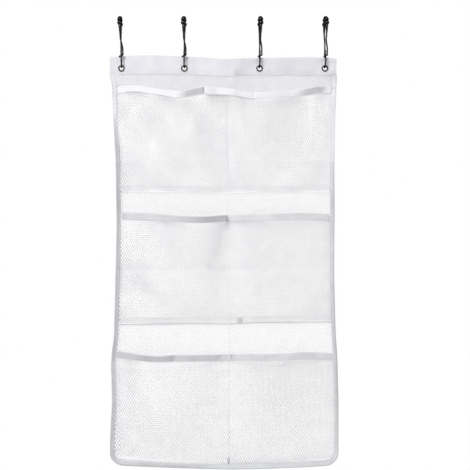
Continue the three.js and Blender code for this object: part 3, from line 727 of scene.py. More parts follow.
def tube(path, radii, sides):
    """Points and faces of a round wire: circles across a path, turned as little as can be, ends closed."""
    along = unit(np.gradient(path, axis=0))
    normals = np.empty_like(path)
    normal = np.array([1.0, 0.0, 0.0])
    for i, tangent in enumerate(along):
        normal = normal - tangent * normal.dot(tangent)
        normal /= np.linalg.norm(normal)
        normals[i] = normal
    across = np.cross(along, normals)
    turn = around(sides)
    circle = normals[:, None] * np.cos(turn)[:, None] + across[:, None] * np.sin(turn)[:, None]
    thick = np.broadcast_to(radii, len(path))
    points = (path[:, None] + circle * thick[:, None, None]).reshape(-1, 3)
    last = (len(path) - 1) * sides
    ring = np.arange(sides)
    near = np.stack([np.roll(ring, -1), ring, np.full(sides, len(points))], axis=1)
    far = np.stack([last + ring, last + np.roll(ring, -1), np.full(sides, len(points) + 1)], axis=1)
    quads = grid_quads(len(path), sides, close_columns=True)
    return np.concatenate([points, path[[0, -1]]]), [quads[:, ::-1], near[:, ::-1], far[:, ::-1]]


def turned(profile, sides):
    """Points and faces of a ring turned about Y from a closed profile of (radius, y) corners."""
    turn = around(sides)[:, None]
    radius, y = np.asarray(profile).T
    x, y, z = np.broadcast_arrays(np.cos(turn) * radius, y, np.sin(turn) * radius)
    points = np.stack([x, y, z], axis=-1).reshape(-1, 3)
    return points, [grid_quads(sides, len(profile), close_rows=True, close_columns=True)]


def sewn_line(points, side):
    """Points and faces of a row of stitches along a line, on the cloth's front (1) or back (-1).

    A stitch is a small spindle that dips into the cloth at its ends: rings of points round its length, the
    radius the root of 1 less the place squared.
    """
    run = run_of(points)
    count = max(2, int(run[-1] / STITCH_PITCH))
    middles = (np.arange(count) + 0.5) * run[-1] / count
    at, ahead = (
        np.stack([np.interp(places, run, points[:, k]) for k in range(3)], axis=-1)
        for places in (middles, middles + STITCH_PITCH / 4)
    )
    along = unit(ahead - at)
    away = np.array([0.0, -side, 0.0])
    away = unit(away - along * np.sum(along * away, axis=1, keepdims=True))
    across = np.cross(along, away)
    place = np.array(STITCH_RINGS)
    turn = around(STITCH_SIDES)
    swell = np.sqrt(1 - place**2) * STITCH_RADIUS
    lift = STITCH_RADIUS * (STITCH_LIFT - STITCH_DIP * place**2)
    spindle = (
        at[:, None, None]
        + along[:, None, None] * (place * STITCH_LENGTH / 2)[None, :, None, None]
        + away[:, None, None] * (lift[:, None] + swell[:, None] * np.cos(turn))[None, :, :, None]
        + across[:, None, None] * (swell[:, None] * np.sin(turn))[None, :, :, None]
    )
    rings = len(place)
    start = np.arange(count)[:, None, None] * rings * STITCH_SIDES
    sides = (grid_quads(rings, STITCH_SIDES, close_columns=True)[None] + start).reshape(-1, 4)
    ring = np.arange(STITCH_SIDES)
    ends = (np.stack([ring[::-1], ring + (rings - 1) * STITCH_SIDES])[None] + start).reshape(-1, STITCH_SIDES)
    return spindle.reshape(-1, 3), [sides, ends]


# Finishes


def wire(node, *inputs, **sockets):
    """Sets a node's sockets, in order or by name, to values, or links them to other nodes' outputs."""
    named = [(node.inputs[key.replace("_", " ")], value) for key, value in sockets.items()]
    for socket, value in [*zip(node.inputs, inputs), *named]:
        if isinstance(value, bpy.types.NodeSocket):
            node.id_data.links.new(value, socket)
        else:
            socket.default_value = value


def add_node(tree, kind, *inputs, settings=(), **sockets):
    """A shader node with its settings and its sockets."""
    node = tree.nodes.new(kind)
    for key, value in dict(settings).items():
        setattr(node, key, value)
    wire(node, *inputs, **sockets)
    return node


def new_finish(name, tones, scale, **values):
    """A material whose colour wanders between two tones with a soft noise of that scale.

    Gives the material, its node tree, its one Principled shader, its Object coordinates and the colour.
    """
    material = bpy.data.materials.new(name)
    material.use_nodes = True
    tree = material.node_tree
    shader = tree.nodes["Principled BSDF"]
    place = add_node(tree, "ShaderNodeTexCoord").outputs["Object"]
    noise = add_node(tree, "ShaderNodeTexNoise", Vector=place, Scale=scale, Detail=3.0)
    ramp = add_node(tree, "ShaderNodeValToRGB", Fac=noise.outputs["Fac"])
    for element, position, tone in zip(ramp.color_ramp.elements, (0.35, 0.65), tones):
        element.position = position
        element.color = (*tone, 1)
    colour = ramp.outputs["Color"]
    wire(shader, Base_Color=colour, **values)
    return material, tree, shader, place, colour


def add_bump(tree, shader, height, strength, distance):
    """Bump on a shader from a height."""
    bump = add_node(tree, "ShaderNodeBump", Height=height, Strength=strength, Distance=distance)
    wire(shader, Normal=bump.outputs["Normal"])


def yarn_finish(name, *tones):
    """Polyester yarn: a faint mottle, fine fibres in the bump and a soft sheen."""
    material, tree, shader, place, _ = new_finish(
        name, tones, 60.0, Roughness=0.75, Specular_IOR_Level=0.3, Sheen_Weight=0.15
    )
    fibre = add_node(tree, "ShaderNodeTexNoise", Vector=place, Scale=5200.0, Detail=2.0)
    add_bump(tree, shader, fibre.outputs["Fac"], strength=0.35, distance=0.0002)
    return material


def woven_finish(name, *tones, ribs, depth, roughness, sheen):
    """Woven cloth on the piece's own cloth map: ribs along and across, their product in the bump and, as
    painted shade, darkening the colour in the weave's hollows.
    """
    material, tree, shader, _, colour = new_finish(
        name, tones, 45.0, Roughness=roughness, Specular_IOR_Level=0.25, Sheen_Weight=sheen
    )
    cloth = add_node(tree, "ShaderNodeUVMap", settings={"uv_map": "cloth"}).outputs["UV"]
    waves = []
    for direction, pitch in zip("XY", ribs):
        settings = {"wave_type": "BANDS", "bands_direction": direction, "wave_profile": "SIN"}
        scale = math.pi / (10 * pitch)
        wave = add_node(tree, "ShaderNodeTexWave", settings=settings, Vector=cloth, Scale=scale)
        waves.append(wave.outputs["Fac"])
    weave = add_node(tree, "ShaderNodeMath", *waves, settings={"operation": "MULTIPLY"}).outputs["Value"]
    # Painted shade: the colour is darkened where the weave lies low.
    shade = add_node(tree, "ShaderNodeMapRange", Value=weave, To_Min=0.93, To_Max=1.0).outputs["Result"]
    shaded_colour = add_node(tree, "ShaderNodeVectorMath", colour, settings={"operation": "SCALE"}, Scale=shade)
    wire(shader, Base_Color=shaded_colour.outputs["Vector"])
    add_bump(tree, shader, weave, strength=0.5, distance=depth)
    return material


def thread_finish(name, *tones):
    """Sewing thread: two-ply twist as fine diagonal bands in the bump."""
    material, tree, shader, place, _ = new_finish(name, tones, 300.0, Roughness=0.55, Specular_IOR_Level=0.4)
    settings = {"wave_type": "BANDS", "bands_direction": "DIAGONAL"}
    twist = add_node(tree, "ShaderNodeTexWave", settings=settings, Vector=place, Scale=700.0)
    add_bump(tree, shader, twist.outputs["Fac"], strength=0.4, distance=0.0001)
    return material


def plated_finish(name, *tones, smoothest, roughest):
    """Plated metal with a cloudy tone, rims darkened by the edge tint, and roughness that rises in faint
    handling marks. Its very dark tone and dark rims are partly the plating's own colour and partly painted
    reflection of dark surroundings.
    """
    # The edge tint darkens the rims as painted reflection.
    material, tree, shader, place, _ = new_finish(
        name, tones, 220.0, Metallic=1.0, Specular_Tint=(0.06, 0.06, 0.06, 1)
    )
    marks = add_node(tree, "ShaderNodeTexNoise", Vector=place, Scale=900.0, Detail=4.0)
    span = add_node(
        tree, "ShaderNodeMapRange", Value=marks.outputs["Fac"], To_Min=smoothest, To_Max=roughest
    )
    wire(shader, Roughness=span.outputs["Result"])
    return material


SATIN = {"ribs": (0.0005, 0.0012), "depth": 0.00010, "sheen": 0.2}
CANVAS = {"depth": 0.00012, "roughness": 0.7, "sheen": 0.1}
YARN = yarn_finish("white_yarn", (0.84, 0.838, 0.86), (0.89, 0.888, 0.905))
THREAD = thread_finish("sewing_thread", (0.74, 0.74, 0.76), (0.84, 0.84, 0.85))
# Grey for the middle hem's rolled lower edge: painted shade along the hem's fold line.
HEM_LINE_SHADE = thread_finish("hem_line_painted_shade", (0.50, 0.50, 0.53), (0.60, 0.60, 0.63))
# A dark loop at the lower seam's foot, darker than the sewing thread.
SEAM_FOOT_DARK = thread_finish("seam_foot_dark_loop", (0.34, 0.34, 0.36), (0.44, 0.44, 0.46))
HEADER_CANVAS = woven_finish(
    "header_canvas", (0.73, 0.72, 0.765), (0.79, 0.78, 0.82), ribs=(0.0007, 0.0007), **CANVAS
)
BINDING_SATIN = woven_finish(
    "binding_satin", (0.68, 0.68, 0.715), (0.75, 0.75, 0.78), roughness=0.42, **SATIN
)
# One satin tape in two copies: this one, for the middle and lower mouths, is toned darker as painted shade,
# and the next one is toned lighter as painted light.
SHADED_MOUTH_SATIN = woven_finish("mouth_satin", (0.65, 0.65, 0.685), (0.72, 0.72, 0.75), roughness=0.45, **SATIN)
LIT_UPPER_SATIN = woven_finish(
    "upper_mouth_satin", (0.78, 0.775, 0.81), (0.84, 0.835, 0.865), roughness=0.45, **SATIN
)
TAG_CLOTH = woven_finish(
    "tag_cloth", (0.56, 0.56, 0.58), (0.64, 0.64, 0.66), ribs=(0.0006, 0.0006), **CANVAS
)
# Rings and rollers: the very dark chrome is partly the plating's own tone and partly painted reflection of
# dark surroundings.
DARK_CHROME_PAINTED_REFLECTION = plated_finish(
    "dark_chrome_painted_reflection", (0.018, 0.018, 0.019), (0.028, 0.028, 0.029), smoothest=0.084, roughest=0.21
)
# Eyelets: the dark nickel is partly the plating's own tone and partly painted reflection of dark
# surroundings.
DARK_NICKEL_PAINTED_REFLECTION = plated_finish(
    "dark_nickel_painted_reflection", (0.045, 0.043, 0.041), (0.075, 0.072, 0.068), smoothest=0.132, roughest=0.33
)


# Mesh cloth


def make_net(name, inside, layers, width, span, nodes=(), flat=None):
    """Knitted mesh in layers, as one piece of yarn; flat is not used. Knitted mesh in
    layers, declared as a sheet; the rims raise the area of a narrow one.
    """
    nets = [knitted_net(inside, to_space, width, span) for to_space in layers]
    points, faces = join([net[:2] for net in nets])
    piece = make_piece(name, points, faces, YARN, nodes, "mesh_cloth")
    flat = flat or (width, span[1] - span[0])


def make_stitches(name, lines):
    """Rows of stitches as one piece, each along a line and on one side of the cloth."""
    make_piece(name, *join([sewn_line(line, side) for line, side in lines]), THREAD)


def strip_layer(row, forward, shift=0.0):
    """A map from flat places on a pocket strip, shifted aside, to points of a layer that far forward."""
    width = strip_width(row)
    return lambda u, v, off: pocket(row, (u + shift) / width, v / row["height"], forward + off)


def make_back_panel():
    """The back panel as one knitted net in three pieces that meet on whole rows of holes behind the hems.

    Its cells lie far enough inside the outline for the binding to cover their edge, and clear of the eyelets.
    """
    inset = PANEL_INSET + HOLE_PITCH / 2

    def inside(u, v):
        x = u - PANEL_WIDTH / 2
        down = (v > HEADER_HEIGHT / 2) & (v < PANEL_HEIGHT - inset)
        return between_edges(x, v, inset) & down & (off_eyelets(x, v) >= EYELET_FLANGE / 2)

    def layer(u, v, off):
        return hang(u - PANEL_WIDTH / 2, v, off)

    cuts = (0.0, FIRST_MOUTH + UPPER_POCKET, MIDDLE_MOUTH + MIDDLE_POCKET, PANEL_HEIGHT)
    for name, *span in zip(ROWS, cuts, cuts[1:]):
        make_net(
            f"back_mesh_{name}", inside, [layer], PANEL_WIDTH, span, ["back_panel"]
        )


def make_pockets(name, row):
    """A pocket strip as a knitted net, from under the hem to inside the mouth tape."""
    width, height, margin = strip_width(row), row["height"], HOLE_PITCH / 2

    def inside(u, v):
        return (u > margin) & (u < width - margin) & (v > margin) & (v < height - margin)

    make_net(
        f"{name}_pocket_mesh", inside, [strip_layer(row, MESH_CLOTH / 2)], width, (0.0, height),
        [f"{name}_pockets"],
    )


def make_hem(name, row):
    """A strip's hem: mesh turned up in front, sewn near its top, with a rolled lower edge."""
    width = strip_width(row)
    bound_left, _, _, bound_right = strip_shares(row)

    def inside(u, v):
        return (u > bound_left * width) & (u < bound_right * width) & (v < HEM_BAND) & (v > 0)

    middle = MESH_CLOTH + CLEARANCE + MESH_CLOTH / 2
    layer = strip_layer(row, middle, HOLE_PITCH / 2)
    make_net(
        f"{name}_hem_mesh", inside, [layer], width, (0.0, HEM_BAND)
    )
    share = np.linspace(bound_left, bound_right, HEM_POINTS)
    roll = tube(pocket(row, share, 0.0, middle), HEM_ROLL, CORD_SIDES)
    # The upper hem's roll is white yarn, and the middle hem's roll is grey as painted shade along its fold.
    make_piece(f"{name}_hem_roll", *roll, YARN if name == "upper" else HEM_LINE_SHADE, slot="mesh_cloth")
    sewn_up = (HEM_BAND - STITCH_FROM_EDGE) / row["height"]
    sewn = pocket(row, share, sewn_up, MESH_CLOTH + CLEARANCE + MESH_CLOTH)
    make_stitches(f"{name}_hem_stitches", [(sewn, 1)])


def make_pleat():
    """A slack pleat in the middle left pocket: two narrow layers that slant down from the seam's top."""
    row = ROWS["middle"]
    top, foot = np.array(PLEAT_TOP), np.array(PLEAT_FOOT)
    length = np.linalg.norm(foot - top)
    way = (foot - top) / length

    def inside(u, v):
        from_top = np.stack([u, v], axis=-1) - top
        along = from_top @ way
        aside = from_top[..., 0] * way[1] - from_top[..., 1] * way[0]
        return (along > 0) & (along < length) & (np.abs(aside) < PLEAT_HALF_WIDTH)

    layers = [
        strip_layer(row, MESH_CLOTH / 2 + number * (MESH_CLOTH + CLEARANCE), shift)
        for number, shift in ((1, HOLE_PITCH / 2), (2, 0.0))
    ]
    make_net(
        "slack_pleat_mesh", inside, layers, strip_width(row), (0.0, row["height"]),
        flat=(PLEAT_WIDTH, PLEAT_LENGTH),
    )


def make_turn_over():
    """The top of the back mesh turned over behind and sewn under the header."""
    behind = HEADER_FACE + CLEARANCE + MESH_CLOTH / 2
    span = (TURN_OVER_FROM, TURN_OVER_END)

    def inside(u, v):
        return between_edges(u - PANEL_WIDTH / 2, v, TAPE_WIDTH) & (v > TURN_OVER_FROM) & (v < TURN_OVER_END)

    def layer(u, v, off):
        return hang(u + HOLE_PITCH / 2 - PANEL_WIDTH / 2, v, off - behind)

    make_net("turn_over_mesh", inside, [layer], PANEL_WIDTH, span)


def make_middle_seam():
    """The seam between left and right pockets: two rows of stitches down each strip and through the gaps."""
    rows = list(ROWS.values())
    lines = []
    for aside in (-SEAM_WIDTH / 4, SEAM_WIDTH / 4):
        for row in rows:
            share = seam_share(row) + aside / strip_width(row)
            up = np.linspace(TAPE_WIDTH / row["height"], 1 - MOUTH_TAPE_WIDTH / row["height"], SEAM_POINTS)
            lines.append((pocket(row, share, up, MESH_CLOTH), 1))
        for row, after in zip(rows, rows[1:]):
            depth = np.linspace(row["mouth"] + row["height"] + STITCH_PITCH, after["mouth"], GAP_POINTS)
            lines.append((hang(SEAM_SHIFT + aside, depth, PANEL_FACE), 1))
    make_stitches("seam_stitches", lines)


def make_seam_end(row):
    """The dark loop at the seam's foot: a drop, the product of two sines wide and a cosine tall."""
    turn = np.linspace(0, 2 * np.pi, LOOP_POINTS)
    across = SEAM_END_WIDTH / 2 * np.sin(turn) * np.sin(turn / 2)
    up = TAPE_WIDTH + SEAM_END_HEIGHT * (1 - np.cos(turn)) / 2
    share = seam_share(row) + across / strip_width(row)
    path = pocket(row, share, up / row["height"], MESH_CLOTH + SEAM_END_THREAD)
    make_piece("seam_end_loop", *tube(path, SEAM_END_THREAD, CORD_SIDES), SEAM_FOOT_DARK)


def make_tag():
    """The plain tag on the front of the middle row: a folded square of woven cloth, a little full."""
    row = ROWS["middle"]
    width, height = strip_width(row), row["height"]
    start = strip_shares(row)[2] + (TAG_FROM_SEAM - TAG_SIDE / 2) / width
    share, up = np.meshgrid(
        start + np.linspace(0, TAG_SIDE / width, TAG_POINTS), np.linspace(0, TAG_SIDE / height, TAG_POINTS)
    )
    across, upward = (share - start) * width, up * height
    crown = TAG_CROWN * np.sin(np.pi * across / TAG_SIDE) * np.sin(np.pi * upward / TAG_SIDE)
    base = MESH_CLOTH + CLEARANCE
    sheet = closed_sheet(pocket(row, share, up, base + TAG_THICKNESS + crown), pocket(row, share, up, base))
    make_piece("tag_square", *sheet, TAG_CLOTH, ["sewn_tag"], "tag_cloth", cloth_map(across, upward))


# Folded tapes: a strip folded lengthwise over an edge, with a front leg and a back leg


def fold_profile(front, back, width, leg_points):
    """Offsets, depths and lengths of a folded tape's middle line, from its front leg to its back leg.

    front and back are how far forward the legs lie. The fold is half a circle between them.
    """
    radius = (front - back) / 2
    leg = np.linspace(width, radius, leg_points)
    turn = np.linspace(0, np.pi, FOLD_POINTS)[1:-1]
    fold = (front + back) / 2 + radius * np.cos(turn)
    offset = np.concatenate([np.full(leg_points, front), fold, np.full(leg_points, back)])
    depth = np.concatenate([leg, radius - radius * np.sin(turn), leg[::-1]])
    length = np.concatenate([[0.0], np.cumsum(np.hypot(np.diff(offset), np.diff(depth)))])
    return offset, depth, length


def sewn_relief(sewing, run, depth, width, seed):
    """Heights of puckers along a run, an uneven wave, and of the groove that sewing pulls near an edge."""
    pucker = sewing["pucker"] * waver(run[:, None] * 2 * np.pi / sewing["wave"], seed)
    from_line = (depth - width + STITCH_FROM_EDGE) / sewing["groove_width"]
    return pucker, sewing["groove"] * np.exp(-(from_line**2))


def make_tape(name, station, run, front, back, width, finish, seed, nodes=()):
    """A folded tape along a run: its profile at each station, with puckers that grow towards its free edges.

    station(i, offset, depth) gives points at the run's places i.
    """
    offset, depth, length = fold_profile(front - TAPE / 2, back + TAPE / 2, width, TAPE_LEG_POINTS)
    outward = np.sign(offset - (front + back) / 2)
    pucker, groove = sewn_relief(TAPE_SEWING, run, depth, width, seed)
    middle = offset + outward * (pucker * np.clip(depth / width, 0, 1) ** 2 - groove)
    bend_out, bend_depth = np.gradient(offset), np.gradient(depth)
    size = np.hypot(bend_out, bend_depth)
    push_out, push_depth = -bend_depth / size * TAPE / 2, bend_out / size * TAPE / 2
    i = np.arange(len(run))[:, None]
    sheet = closed_sheet(
        station(i, middle + push_out, depth + push_depth), station(i, middle - push_out, depth - push_depth)
    )
    piece = make_piece(name, *sheet, finish, nodes, "tape", cloth_map(run[:, None], length[None, :]))


def make_header():
    """The header band: close-woven cloth folded over the top edge, with holes for the eyelets."""
    fine = np.arange(-HEADER_FINE_REACH, HEADER_FINE_REACH + HEADER_FINE_STEP / 8, HEADER_FINE_STEP)
    coarse = np.linspace(-PANEL_WIDTH / 2, PANEL_WIDTH / 2, HEADER_POINTS)
    apart = np.min([np.abs(coarse - x) for x in EYELET_XS], axis=0) > HEADER_COARSE_FROM
    x = np.sort(np.concatenate([coarse[apart], *(fine + x for x in EYELET_XS)]))
    middle, half = HEADER_FACE - HEADER_CLOTH / 2, HEADER_CLOTH / 2
    offset, depth, length = fold_profile(middle, -middle, HEADER_HEIGHT, HEADER_LEG_POINTS)
    outward = np.sign(offset)
    pucker, groove = sewn_relief(HEADER_SEWING, x, depth, HEADER_HEIGHT, HEADER_SEED)
    ease = np.clip((depth - HEADER_PUCKER_FROM) / HEADER_PUCKER_REACH, 0, 1)
    calm = 1 - np.exp(-((off_eyelets(x[:, None], depth) / HEADER_PUCKER_CALM) ** 4))
    sewn_in = HEADER_SEWN_IN * smooth(1 - (HEADER_HEIGHT - depth) / HEADER_SEWN_REACH)
    offset = offset + outward * (pucker * ease**2 * calm - groove - sewn_in)
    across, down = np.broadcast_arrays(x[:, None], depth)
    on_leg = depth >= middle
    upward = np.where(on_leg, 0.0, half)
    push = outward * half * on_leg
    cell_x = (x[:-1] + x[1:])[:, None] / 2
    cell_depth = (depth[:-1] + depth[1:]) / 2
    hole = EYELET_BORE / 2 + EYELET_WALL + 2 * CLEARANCE
    sheet = closed_sheet(
        hang(across, down - upward, offset + push), hang(across, down + upward, offset - push),
        keep=off_eyelets(cell_x, cell_depth) > hole,
    )
    uv = cloth_map(x[:, None], length[None, :])
    piece = make_piece("header_canvas", *sheet, HEADER_CANVAS, ["header_band"], "header_cloth", uv)
    sewn_half = PANEL_WIDTH / 2 - HEADER_STITCH_INSET
    sewn_x = np.linspace(-sewn_half, sewn_half, HEADER_STITCH_POINTS)
    sewn_depth, face = HEADER_HEIGHT - STITCH_FROM_EDGE, HEADER_FACE - HEADER_SEWN_IN
    make_stitches("header_stitches", [(hang(sewn_x, sewn_depth, side * face), side) for side in (1, -1)])


def make_binding():
    """The edge binding: tape folded over the edges, down the left, along the bottom and up the right."""
    straight = np.linspace(HEADER_HEIGHT + CLEARANCE, PANEL_HEIGHT - CORNER_RADIUS, BINDING_SIDE_POINTS)
    turn = np.linspace(0, np.pi / 2, BINDING_CORNER_POINTS)[1:]
    down = np.concatenate([straight, PANEL_HEIGHT - CORNER_RADIUS + CORNER_RADIUS * np.sin(turn)])
    left, right = edge_x(-1, down, 0.0), edge_x(1, down, 0.0)
    along = np.linspace(left[-1], right[-1], BINDING_BOTTOM_POINTS)[1:-1]
    x = np.concatenate([left, along, right[::-1]])
    depth = np.concatenate([down, np.full(len(along), PANEL_HEIGHT), down[::-1]])
    step_x, step_depth = np.gradient(x), np.gradient(depth)
    size = np.hypot(step_x, step_depth)
    in_x, in_depth = step_depth / size, -step_x / size
    squeeze = np.where(x < 0, TAPE_SQUEEZE_LEFT, TAPE_SQUEEZE_RIGHT)
    squeeze = lerp(1.0, squeeze, smooth(np.abs(in_x)) * smooth((depth - HEADER_HEIGHT) / CREASE_FROM))

    def station(i, offset, inward):
        return hang(x[i] + in_x[i] * inward * squeeze[i], depth[i] + in_depth[i] * inward, offset)

    run = run_of(np.stack([x, depth], axis=-1))
    front = PANEL_FACE + WALL_OFF_MOUTH + MESH_CLOTH + CLEARANCE + TAPE
    back = -(PANEL_FACE + CLEARANCE + TAPE)
    make_tape(
        "edge_tape", station, run, front, back, TAPE_WIDTH, BINDING_SATIN, BINDING_SEED, ["edge_binding"]
    )
    places, sewn = np.arange(len(run)), TAPE_WIDTH - STITCH_FROM_EDGE
    faces = ((front, 1), (back, -1))
    make_stitches("edge_stitches", [(station(places, face, sewn), side) for face, side in faces])


def make_mouth_tape(name, row, place, ends, count, finish, seed, nodes=()):
    """A tape folded over a mouth between two shares across, with stitches along the middle of its front.

    place(row, share, below, forward) gives points at lengths below the mouth.
    """
    share = np.linspace(*ends, count)
    above, front = CLEARANCE + TAPE, MESH_CLOTH + CLEARANCE + TAPE

    def station(i, offset, depth):
        return place(row, *np.broadcast_arrays(share[i], depth - above), offset)

    run = (share - share[0]) * strip_width(row)
    make_tape(
        f"{name}_satin", station, run, front, -above, MOUTH_TAPE_WIDTH + above, finish, seed, nodes
    )
    line = station(np.arange(count), front, MOUTH_TAPE_WIDTH / 2 + above)
    make_stitches(f"{name}_stitches", [(line, 1)])


# Hardware


def half_round(start, end, base, height):
    """(radius, y) corners from one radius to another, rising off a base by a power of half a sine wave."""
    turn = np.linspace(0, np.pi, EYELET_ROUND_POINTS)
    middle, reach = (start + end) / 2, (end - start) / 2
    return [(middle - reach * math.cos(t), base + height * math.sin(t) ** EYELET_ROUNDING) for t in turn]


def make_eyelets():
    """The eyelets with their washers, turned about Y and set in the header's holes.

    An eyelet has a crowned flange in front, a barrel and a lip rolled over behind. A washer is bevelled.
    """
    bore, rim = EYELET_BORE / 2, EYELET_FLANGE / 2
    barrel = bore + EYELET_WALL
    face = HEADER_FACE + CLEARANCE
    lip = face + EYELET_WASHER + CLEARANCE
    eyelet = [
        *half_round(bore, rim, -face, -EYELET_CROWN), (barrel, -face), (barrel, lip),
        *half_round(barrel + EYELET_LIP, bore, lip, EYELET_LIP_THICKNESS),
    ]
    hole, back = barrel + CLEARANCE, face + EYELET_WASHER
    washer = [
        (hole, face), (rim - WASHER_BEVEL, face), (rim, face + WASHER_BEVEL), (rim, back - WASHER_BEVEL),
        (rim - WASHER_BEVEL, back), (hole, back),
    ]
    for k, x in enumerate(EYELET_XS, start=1):
        for name, profile in (("eyelet", eyelet), ("eyelet_washer", washer)):
            points, faces = turned(profile, EYELET_SIDES)
            points = points + np.array([x, 0.0, EYELET_Z])
            make_piece(f"{name}_{k}_plated", points, faces, DARK_NICKEL_PAINTED_REFLECTION, [f"{name}_{k}"], "eyelet_nickel")


def arc(centre, radius, angles, aside=0.0):
    """Points of an arc about (y, z), angles from +Z towards +Y, carried aside in X."""
    y, z = centre[0] + radius * np.sin(angles), centre[1] + radius * np.cos(angles)
    return np.stack([np.broadcast_to(aside, y.shape), y, z], axis=-1)


def ring_wire():
    """Path and radii of a ring's wire: free end, lobe, back neck, top arc with pinches, front neck, catch."""
    top_to_neck = RING_TOP_RADIUS + RING_NECK_RADIUS
    lobe_to_neck = RING_LOBE_RADIUS + RING_NECK_RADIUS
    rise = (lobe_to_neck**2 - top_to_neck**2 + RING_DROP**2) / (2 * RING_DROP)
    reach = math.sqrt(lobe_to_neck**2 - rise**2)
    low, high = math.atan2(reach, rise), math.atan2(reach, RING_DROP - rise)
    front, back = (-reach, rise), (reach, rise)
    strand_space = WIRE + CATCH_SPACE
    foot = math.pi - low
    fall = np.linspace(high, CATCH_FROM, FRONT_NECK_POINTS)
    share = np.linspace(0, 1, FINGER_POINTS)[1:]
    turn = np.pi * share**CATCH_TWIST
    finger = CATCH_FROM + CATCH_LENGTH * np.sin(np.pi * share / 2) / RING_NECK_RADIUS
    path = np.concatenate([
        arc(front, RING_NECK_RADIUS, np.linspace(FREE_END, foot, FREE_END_POINTS))[:-1],
        arc((0, 0), RING_LOBE_RADIUS, np.linspace(-low, low - 2 * np.pi, LOBE_POINTS))[:-1],
        arc(back, RING_NECK_RADIUS, np.linspace(-foot, -high, BACK_NECK_POINTS))[:-1],
        arc((0, RING_DROP), RING_TOP_RADIUS, np.linspace(math.pi - high, high - math.pi, TOP_POINTS))[:-1],
        arc(front, RING_NECK_RADIUS, fall, strand_space * smooth((fall - high) / (FREE_END - high))),
        arc(front, RING_NECK_RADIUS - strand_space * np.sin(turn), finger, strand_space * np.cos(turn)),
    ])
    run = run_of(path)
    from_end = np.clip(np.minimum(run, run[-1] - run) / (WIRE / 2), 0, 1)
    radii = WIRE / 2 * np.sqrt(np.clip(1 - (1 - from_end) ** 2, WIRE_END_LEAST, 1))
    angle = np.arctan2(path[:, 1], path[:, 2] - RING_DROP)
    on_top = np.abs(np.hypot(path[:, 1], path[:, 2] - RING_DROP) - RING_TOP_RADIUS) < WIRE / 4
    past = np.abs(angle) - ROLLERS_EACH_SIDE * ROLLER_PITCH - PINCH_AFTER
    pinch = np.where(past < 0, 1 + past / (PINCH_AFTER / PINCH_STEEP), 1 - past / PINCH_TAPER)
    radii += on_top * (ROLLER_BORE + CLEARANCE - WIRE / 2) * np.clip(pinch, 0, 1)
    return path, radii


def turn_about(axis, angle):
    """Rotation about axis 0, 1 or 2."""
    j, k = (axis + 1) % 3, (axis + 2) % 3
    turn = np.eye(3)
    turn[j, j] = turn[k, k] = math.cos(angle)
    turn[k, j] = math.sin(angle)
    turn[j, k] = -turn[k, j]
    return turn


def make_rings():
    """The four rings, each with its own lean and turn: a wire, and bored balls on its top arc as rollers."""
    wire_points, wire_faces = tube(*ring_wire(), WIRE_SIDES)
    radius = ROLLER / 2
    end = math.asin(ROLLER_BORE / radius)
    angles = np.linspace(end, math.pi - end, ROLLER_POINTS)
    ball = [(radius * math.sin(angle), -radius * math.cos(angle)) for angle in angles]
    ball_points, ball_faces = turned(ball, ROLLER_SIDES)
    for k, (x, lean, yaw) in enumerate(zip(EYELET_XS, RING_LEAN_DEG, RING_TURN_DEG), start=1):
        pose = turn_about(1, math.radians(lean)) @ turn_about(2, math.radians(yaw))
        place = np.array([x, 0.0, SWING_Z])
        points = wire_points @ pose.T + place
        ring = f"ring_{k}"
        make_piece(
            f"{ring}_wire", points, wire_faces, DARK_CHROME_PAINTED_REFLECTION, [f"ring_wire_{k}"], "ring_chrome", body=ring
        )
        for j in range(2 * ROLLERS_EACH_SIDE + 1):
            angle = (j - ROLLERS_EACH_SIDE) * ROLLER_PITCH
            seat = arc((0, RING_DROP), RING_TOP_RADIUS, np.array([angle]))[0]
            points = (ball_points @ turn_about(0, -angle).T + seat) @ pose.T + place
            node = f"roller_{k}_{j + 1}"
            make_piece(f"{node}_ball", points, ball_faces, DARK_CHROME_PAINTED_REFLECTION, [node], "roller_chrome", body=node)


# Studio


def seen_rays(tree):
    """A socket that is 1 for rays that show the background: camera, glossy and transmission rays."""
    path = add_node(tree, "ShaderNodeLightPath")
    seen = path.outputs["Is Camera Ray"]
    for kind in ("Is Glossy Ray", "Is Transmission Ray"):
        either = add_node(tree, "ShaderNodeMath", seen, path.outputs[kind], settings={"operation": "MAXIMUM"})
        seen = either.outputs["Value"]
    return seen


def make_world():
    """A white world, whose light on the object is weaker than it shows."""
    world = bpy.data.worlds.new("studio")
    bpy.context.scene.world = world
    world.use_nodes = True
    tree = world.node_tree
    tree.nodes.clear()
    strength = add_node(tree, "ShaderNodeMapRange", Value=seen_rays(tree), To_Min=WORLD_LIGHT, To_Max=1.0)
    light = add_node(tree, "ShaderNodeBackground", Color=(1, 1, 1, 1), Strength=strength.outputs["Result"])
    add_node(tree, "ShaderNodeOutputWorld", Surface=light.outputs["Background"])


def make_lamps():
    """A key lamp from the upper left, a soft fill and a lamp behind, turned to the object's middle."""
    middle = np.array([0.0, 0.0, (CAD_BOX[0].z + CAD_BOX[1].z) / 2])
    for name, (toward, distance, size, power) in LAMPS.items():
        lamp = bpy.data.lights.new(name, "AREA")
        lamp.size = size
        lamp.energy = power
        holder = add_object(name, lamp)
        way = np.array(toward) / np.linalg.norm(toward)
        holder.location = middle + way * distance
        holder.rotation_euler = Vector(-way).to_track_quat("-Z", "Y").to_euler()


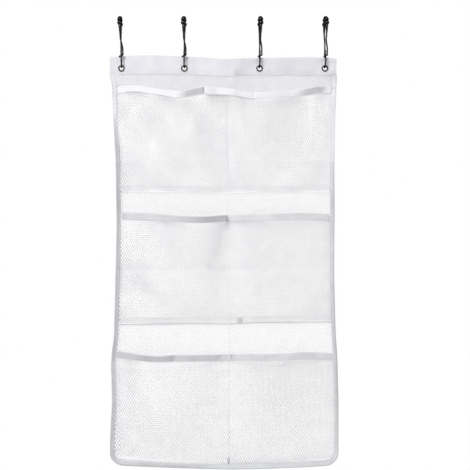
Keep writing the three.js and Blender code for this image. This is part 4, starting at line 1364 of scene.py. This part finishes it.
def make_floor():
    """A pale floor well below the object, partly white of its own."""
    finish, tree, shader, _, _ = new_finish(
        "pale_floor", ((0.86, 0.86, 0.86), (0.9, 0.9, 0.9)), 2.0, Roughness=0.9, Specular_IOR_Level=0.1
    )
    white = add_node(tree, "ShaderNodeEmission", Color=(1, 1, 1, 1), Strength=1.0)
    share = add_node(tree, "ShaderNodeMapRange", Value=seen_rays(tree), To_Max=FLOOR_WHITE)
    mixed = (share.outputs["Result"], shader.outputs["BSDF"], white.outputs["Emission"])
    blend = add_node(tree, "ShaderNodeMixShader", *mixed)
    wire(tree.get_output_node("ALL"), Surface=blend.outputs["Shader"])
    mesh = bpy.data.meshes.new("floor")
    corners = [(-1, -1), (1, -1), (1, 1), (-1, 1)]
    low = CAD_BOX[0].z - FLOOR_BELOW
    mesh.from_pydata([(x * FLOOR_HALF, y * FLOOR_HALF, low) for x, y in corners], [], [(0, 1, 2, 3)])
    mesh.materials.append(finish)
    add_object("floor", mesh)


def make_camera():
    """The camera straight in front, far off, with the photograph's scale at the panel's plane."""
    data = bpy.data.cameras.new("camera")
    data.sensor_width = SENSOR_WIDTH
    data.lens = SENSOR_WIDTH * CAMERA_DISTANCE / (PHOTO_SIDE * METRES_PER_PIXEL)
    camera = add_object("camera", data)
    x = (PHOTO_SIDE / 2 - PIXEL_OF_MIDDLE_X) * METRES_PER_PIXEL
    z = EYELET_Z - (PHOTO_SIDE / 2 - PIXEL_OF_EYELETS_Y) * METRES_PER_PIXEL
    camera.location = (x, -CAMERA_DISTANCE, z)
    camera.rotation_euler = (math.pi / 2, 0, 0)
    bpy.context.scene.camera = camera


make_camera()
make_back_panel()
for row_name, row_values in ROWS.items():
    make_pockets(row_name, row_values)
for row_name in ("upper", "middle"):
    make_hem(row_name, ROWS[row_name])
make_header()
make_pleat()
make_turn_over()
make_middle_seam()
make_seam_end(ROWS["lower"])
make_binding()
for number, (row_name, row_values) in enumerate(ROWS.items(), start=1):
    bound_left, _, _, bound_right = strip_shares(row_values)
    # The upper mouth takes the satin copy toned lighter as painted light, and the others take the copy toned
    # darker as painted shade.
    make_mouth_tape(
        f"{row_name}_mouth", row_values, pocket_mouth, (bound_left, bound_right), MOUTH_POINTS,
        LIT_UPPER_SATIN if row_name == "upper" else SHADED_MOUTH_SATIN, MOUTH_SEED * number, [f"{row_name}_mouth_tape"],
    )
# The flap takes the satin copy toned lighter as painted light.
make_mouth_tape("flap", ROWS["upper"], flap, (FLAP_FROM, FLAP_TO), FLAP_POINTS, LIT_UPPER_SATIN, FLAP_SEED)
make_tag()
make_eyelets()
make_rings()
make_world()
make_lamps()
make_floor()
bpy.context.scene.view_settings.view_transform = "Standard"
